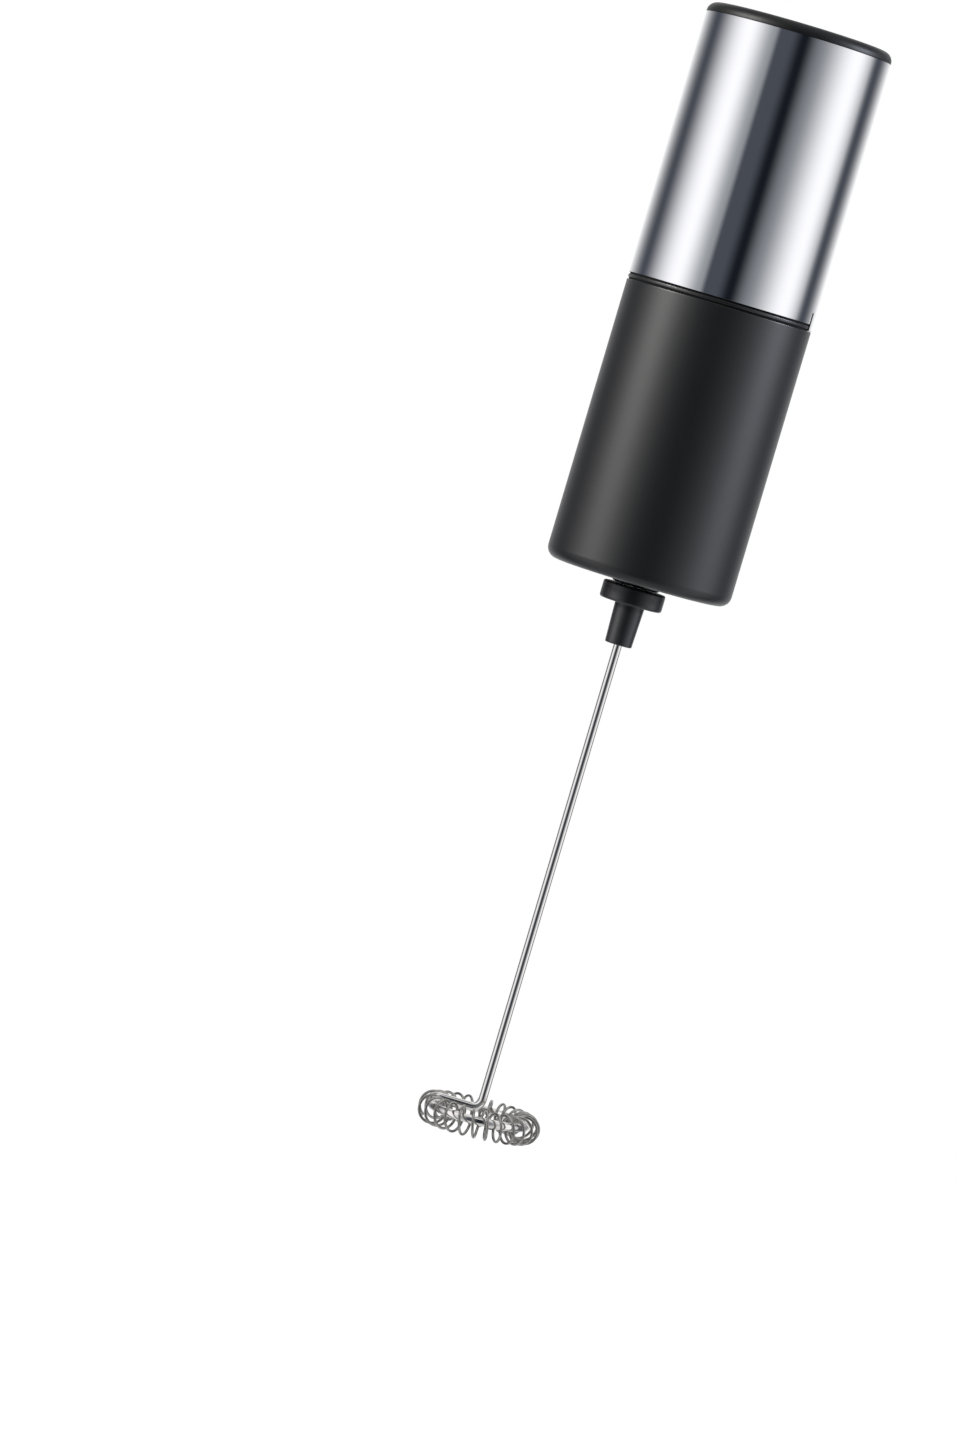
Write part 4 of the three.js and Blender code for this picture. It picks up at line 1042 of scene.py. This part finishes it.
def studio_world():
    """Soft studio surroundings. The camera itself sees a plain white backdrop."""
    world = bpy.data.worlds.new("studio")
    world.use_nodes = True
    tree = world.node_tree
    tree.nodes.clear()
    towards = add(tree, "ShaderNodeTexCoord").outputs["Generated"]
    split = add(tree, "ShaderNodeSeparateXYZ", None, {0: towards}).outputs
    ahead = add(tree, "ShaderNodeMath", {"operation": "MULTIPLY"}, {0: split["Y"], 1: -1.0}).outputs[0]
    angle = add(tree, "ShaderNodeMath", {"operation": "ARCTAN2"}, {0: split["X"], 1: ahead}).outputs[0]

    def fade(value, none, full):
        return add(tree, "ShaderNodeMapRange", {"interpolation_type": "SMOOTHSTEP"},
                   {"Value": value, "From Min": none, "From Max": full}).outputs["Result"]

    def blend(factor, rear, front):
        return add(tree, "ShaderNodeMix", {"data_type": "RGBA"},
                   {"Factor": factor, "A": rear, "B": linear(front)}).outputs["Result"]

    walls = linear(BACKDROP)
    for start, solid, fading, gone, code in STUDIO:
        left = fade(angle, math.radians(start), math.radians(solid))
        right = fade(angle, math.radians(gone), math.radians(fading))
        cover = add(tree, "ShaderNodeMath", {"operation": "MULTIPLY"}, {0: left, 1: right}).outputs[0]
        walls = blend(cover, walls, code)
    topped = blend(fade(split["Z"], 0.7, 0.92), walls, OVERHEAD)
    room = blend(fade(split["Z"], -0.6, -0.88), topped, UNDERNEATH)
    lit = add(tree, "ShaderNodeBackground", None, {"Color": room, "Strength": STUDIO_GAIN}).outputs[0]
    seen = add(tree, "ShaderNodeBackground", None, {"Color": linear("#ffffff"), "Strength": 1.0}).outputs[0]
    camera_ray = add(tree, "ShaderNodeLightPath").outputs["Is Camera Ray"]
    mixed = add(tree, "ShaderNodeMixShader", None, {"Fac": camera_ray, 1: lit, 2: seen}).outputs[0]
    add(tree, "ShaderNodeOutputWorld", None, {"Surface": mixed})
    bpy.context.scene.world = world


def softbox(name, azimuth, power, colour, elevation=21, distance=1.1, size=0.42):
    """A square soft light aimed at the handle, placed by its angle from the camera towards +X."""
    data = bpy.data.lights.new(name, "AREA")
    data.shape = "SQUARE"
    data.size = size
    data.energy = power
    data.color = linear(colour)[:3]
    light = bpy.data.objects.new(name, data)
    a, e = math.radians(azimuth), math.radians(elevation)
    back = Vector((math.sin(a) * math.cos(e), -math.cos(a) * math.cos(e), math.sin(e)))
    light.location = back * distance
    light.rotation_euler = (-back).to_track_quat("-Z", "Y").to_euler()
    bpy.context.scene.collection.objects.link(light)
    return light


def keep_off(lights, pieces):
    """Leaves the pieces to the surroundings' light: the softboxes would burn white spots on thin wire."""
    shaded = bpy.data.collections.new("lit_by_surroundings")
    for piece in pieces:
        shaded.objects.link(piece)
    for entry in shaded.collection_objects:
        entry.light_linking.link_state = "EXCLUDE"
    for light in lights:
        light.light_linking.receiver_collection = shaded


def floor():
    """A plain pale round floor that fades into the backdrop."""
    bm = bmesh.new()
    bmesh.ops.create_circle(bm, cap_ends=True, cap_tris=False, segments=128, radius=FLOOR_R,
                            matrix=Matrix.Translation((0, 0, FLOOR_Z)))
    mesh = bpy.data.meshes.new("floor")
    bm.to_mesh(mesh)
    bm.free()
    disc = new_object("floor", mesh)
    material, tree, shader = surface("pale_floor", "#f4f4f4", 0.0, 0.9)
    place = add(tree, "ShaderNodeTexCoord").outputs["Object"]
    flat = add(tree, "ShaderNodeVectorMath", {"operation": "MULTIPLY"},
               {0: place, 1: (1.0, 1.0, 0.0)}).outputs[0]
    away = add(tree, "ShaderNodeVectorMath", {"operation": "LENGTH"}, {0: flat}).outputs["Value"]
    fade = add(tree, "ShaderNodeMapRange", {"interpolation_type": "SMOOTHSTEP"},
               {"Value": away, "From Min": FLOOR_R * 0.2, "From Max": FLOOR_R * 0.95}).outputs["Result"]
    glow = add(tree, "ShaderNodeEmission", None, {"Color": linear("#ffffff"), "Strength": 1.0}).outputs[0]
    out = tree.nodes["Material Output"]
    mixed = add(tree, "ShaderNodeMixShader", None, {"Fac": 0.72, 1: shader.outputs[0], 2: glow}).outputs[0]
    clear = add(tree, "ShaderNodeBsdfTransparent").outputs[0]
    soft = add(tree, "ShaderNodeMixShader", None, {"Fac": fade, 1: mixed, 2: clear}).outputs[0]
    camera_ray = add(tree, "ShaderNodeLightPath").outputs["Is Camera Ray"]
    shown = add(tree, "ShaderNodeMixShader", None, {"Fac": camera_ray, 1: clear, 2: soft}).outputs[0]
    tree.links.new(shown, out.inputs["Surface"])
    mesh.materials.append(material)


def camera():
    """A long lens level with the seam, looking a little down and left, rolled with the tool's lean."""
    data = bpy.data.cameras.new("camera")
    data.lens = CAMERA_LENS
    data.sensor_width = CAMERA_SENSOR
    made = bpy.data.objects.new("camera", data)
    bpy.context.scene.collection.objects.link(made)
    pitch, yaw = math.radians(CAMERA_PITCH), math.radians(CAMERA_YAW)
    look = Vector((-math.sin(yaw) * math.cos(pitch), math.cos(yaw) * math.cos(pitch), math.sin(pitch)))
    turn = look.to_track_quat("-Z", "Y").to_matrix() @ Matrix.Rotation(math.radians(CAMERA_ROLL), 3, "Z")
    made.matrix_world = Matrix.Translation(CAMERA_PLACE) @ turn.to_4x4()
    data.clip_start = 0.05
    data.clip_end = 50
    bpy.context.scene.camera = made


camera()
studio_world()
softboxes = (softbox("left_softbox", azimuth=-68, power=17.5, colour="#fffefa"),
             softbox("right_softbox", azimuth=86, power=12.5, colour="#eaf1ff"))
floor()
bpy.context.scene.view_settings.view_transform = "Standard"

dress_inner_nodes()
lower_housing()
shaft_seal()
battery_carrier()
battery("cell_left", "battery_left", up=True)
battery("cell_right", "battery_right", up=False)
steel_sleeve()
cover_liner()
end_cap()
push_button()
whisk_coupling()
keep_off(softboxes, (whisk_wire(), whisk_coil()))
springs()
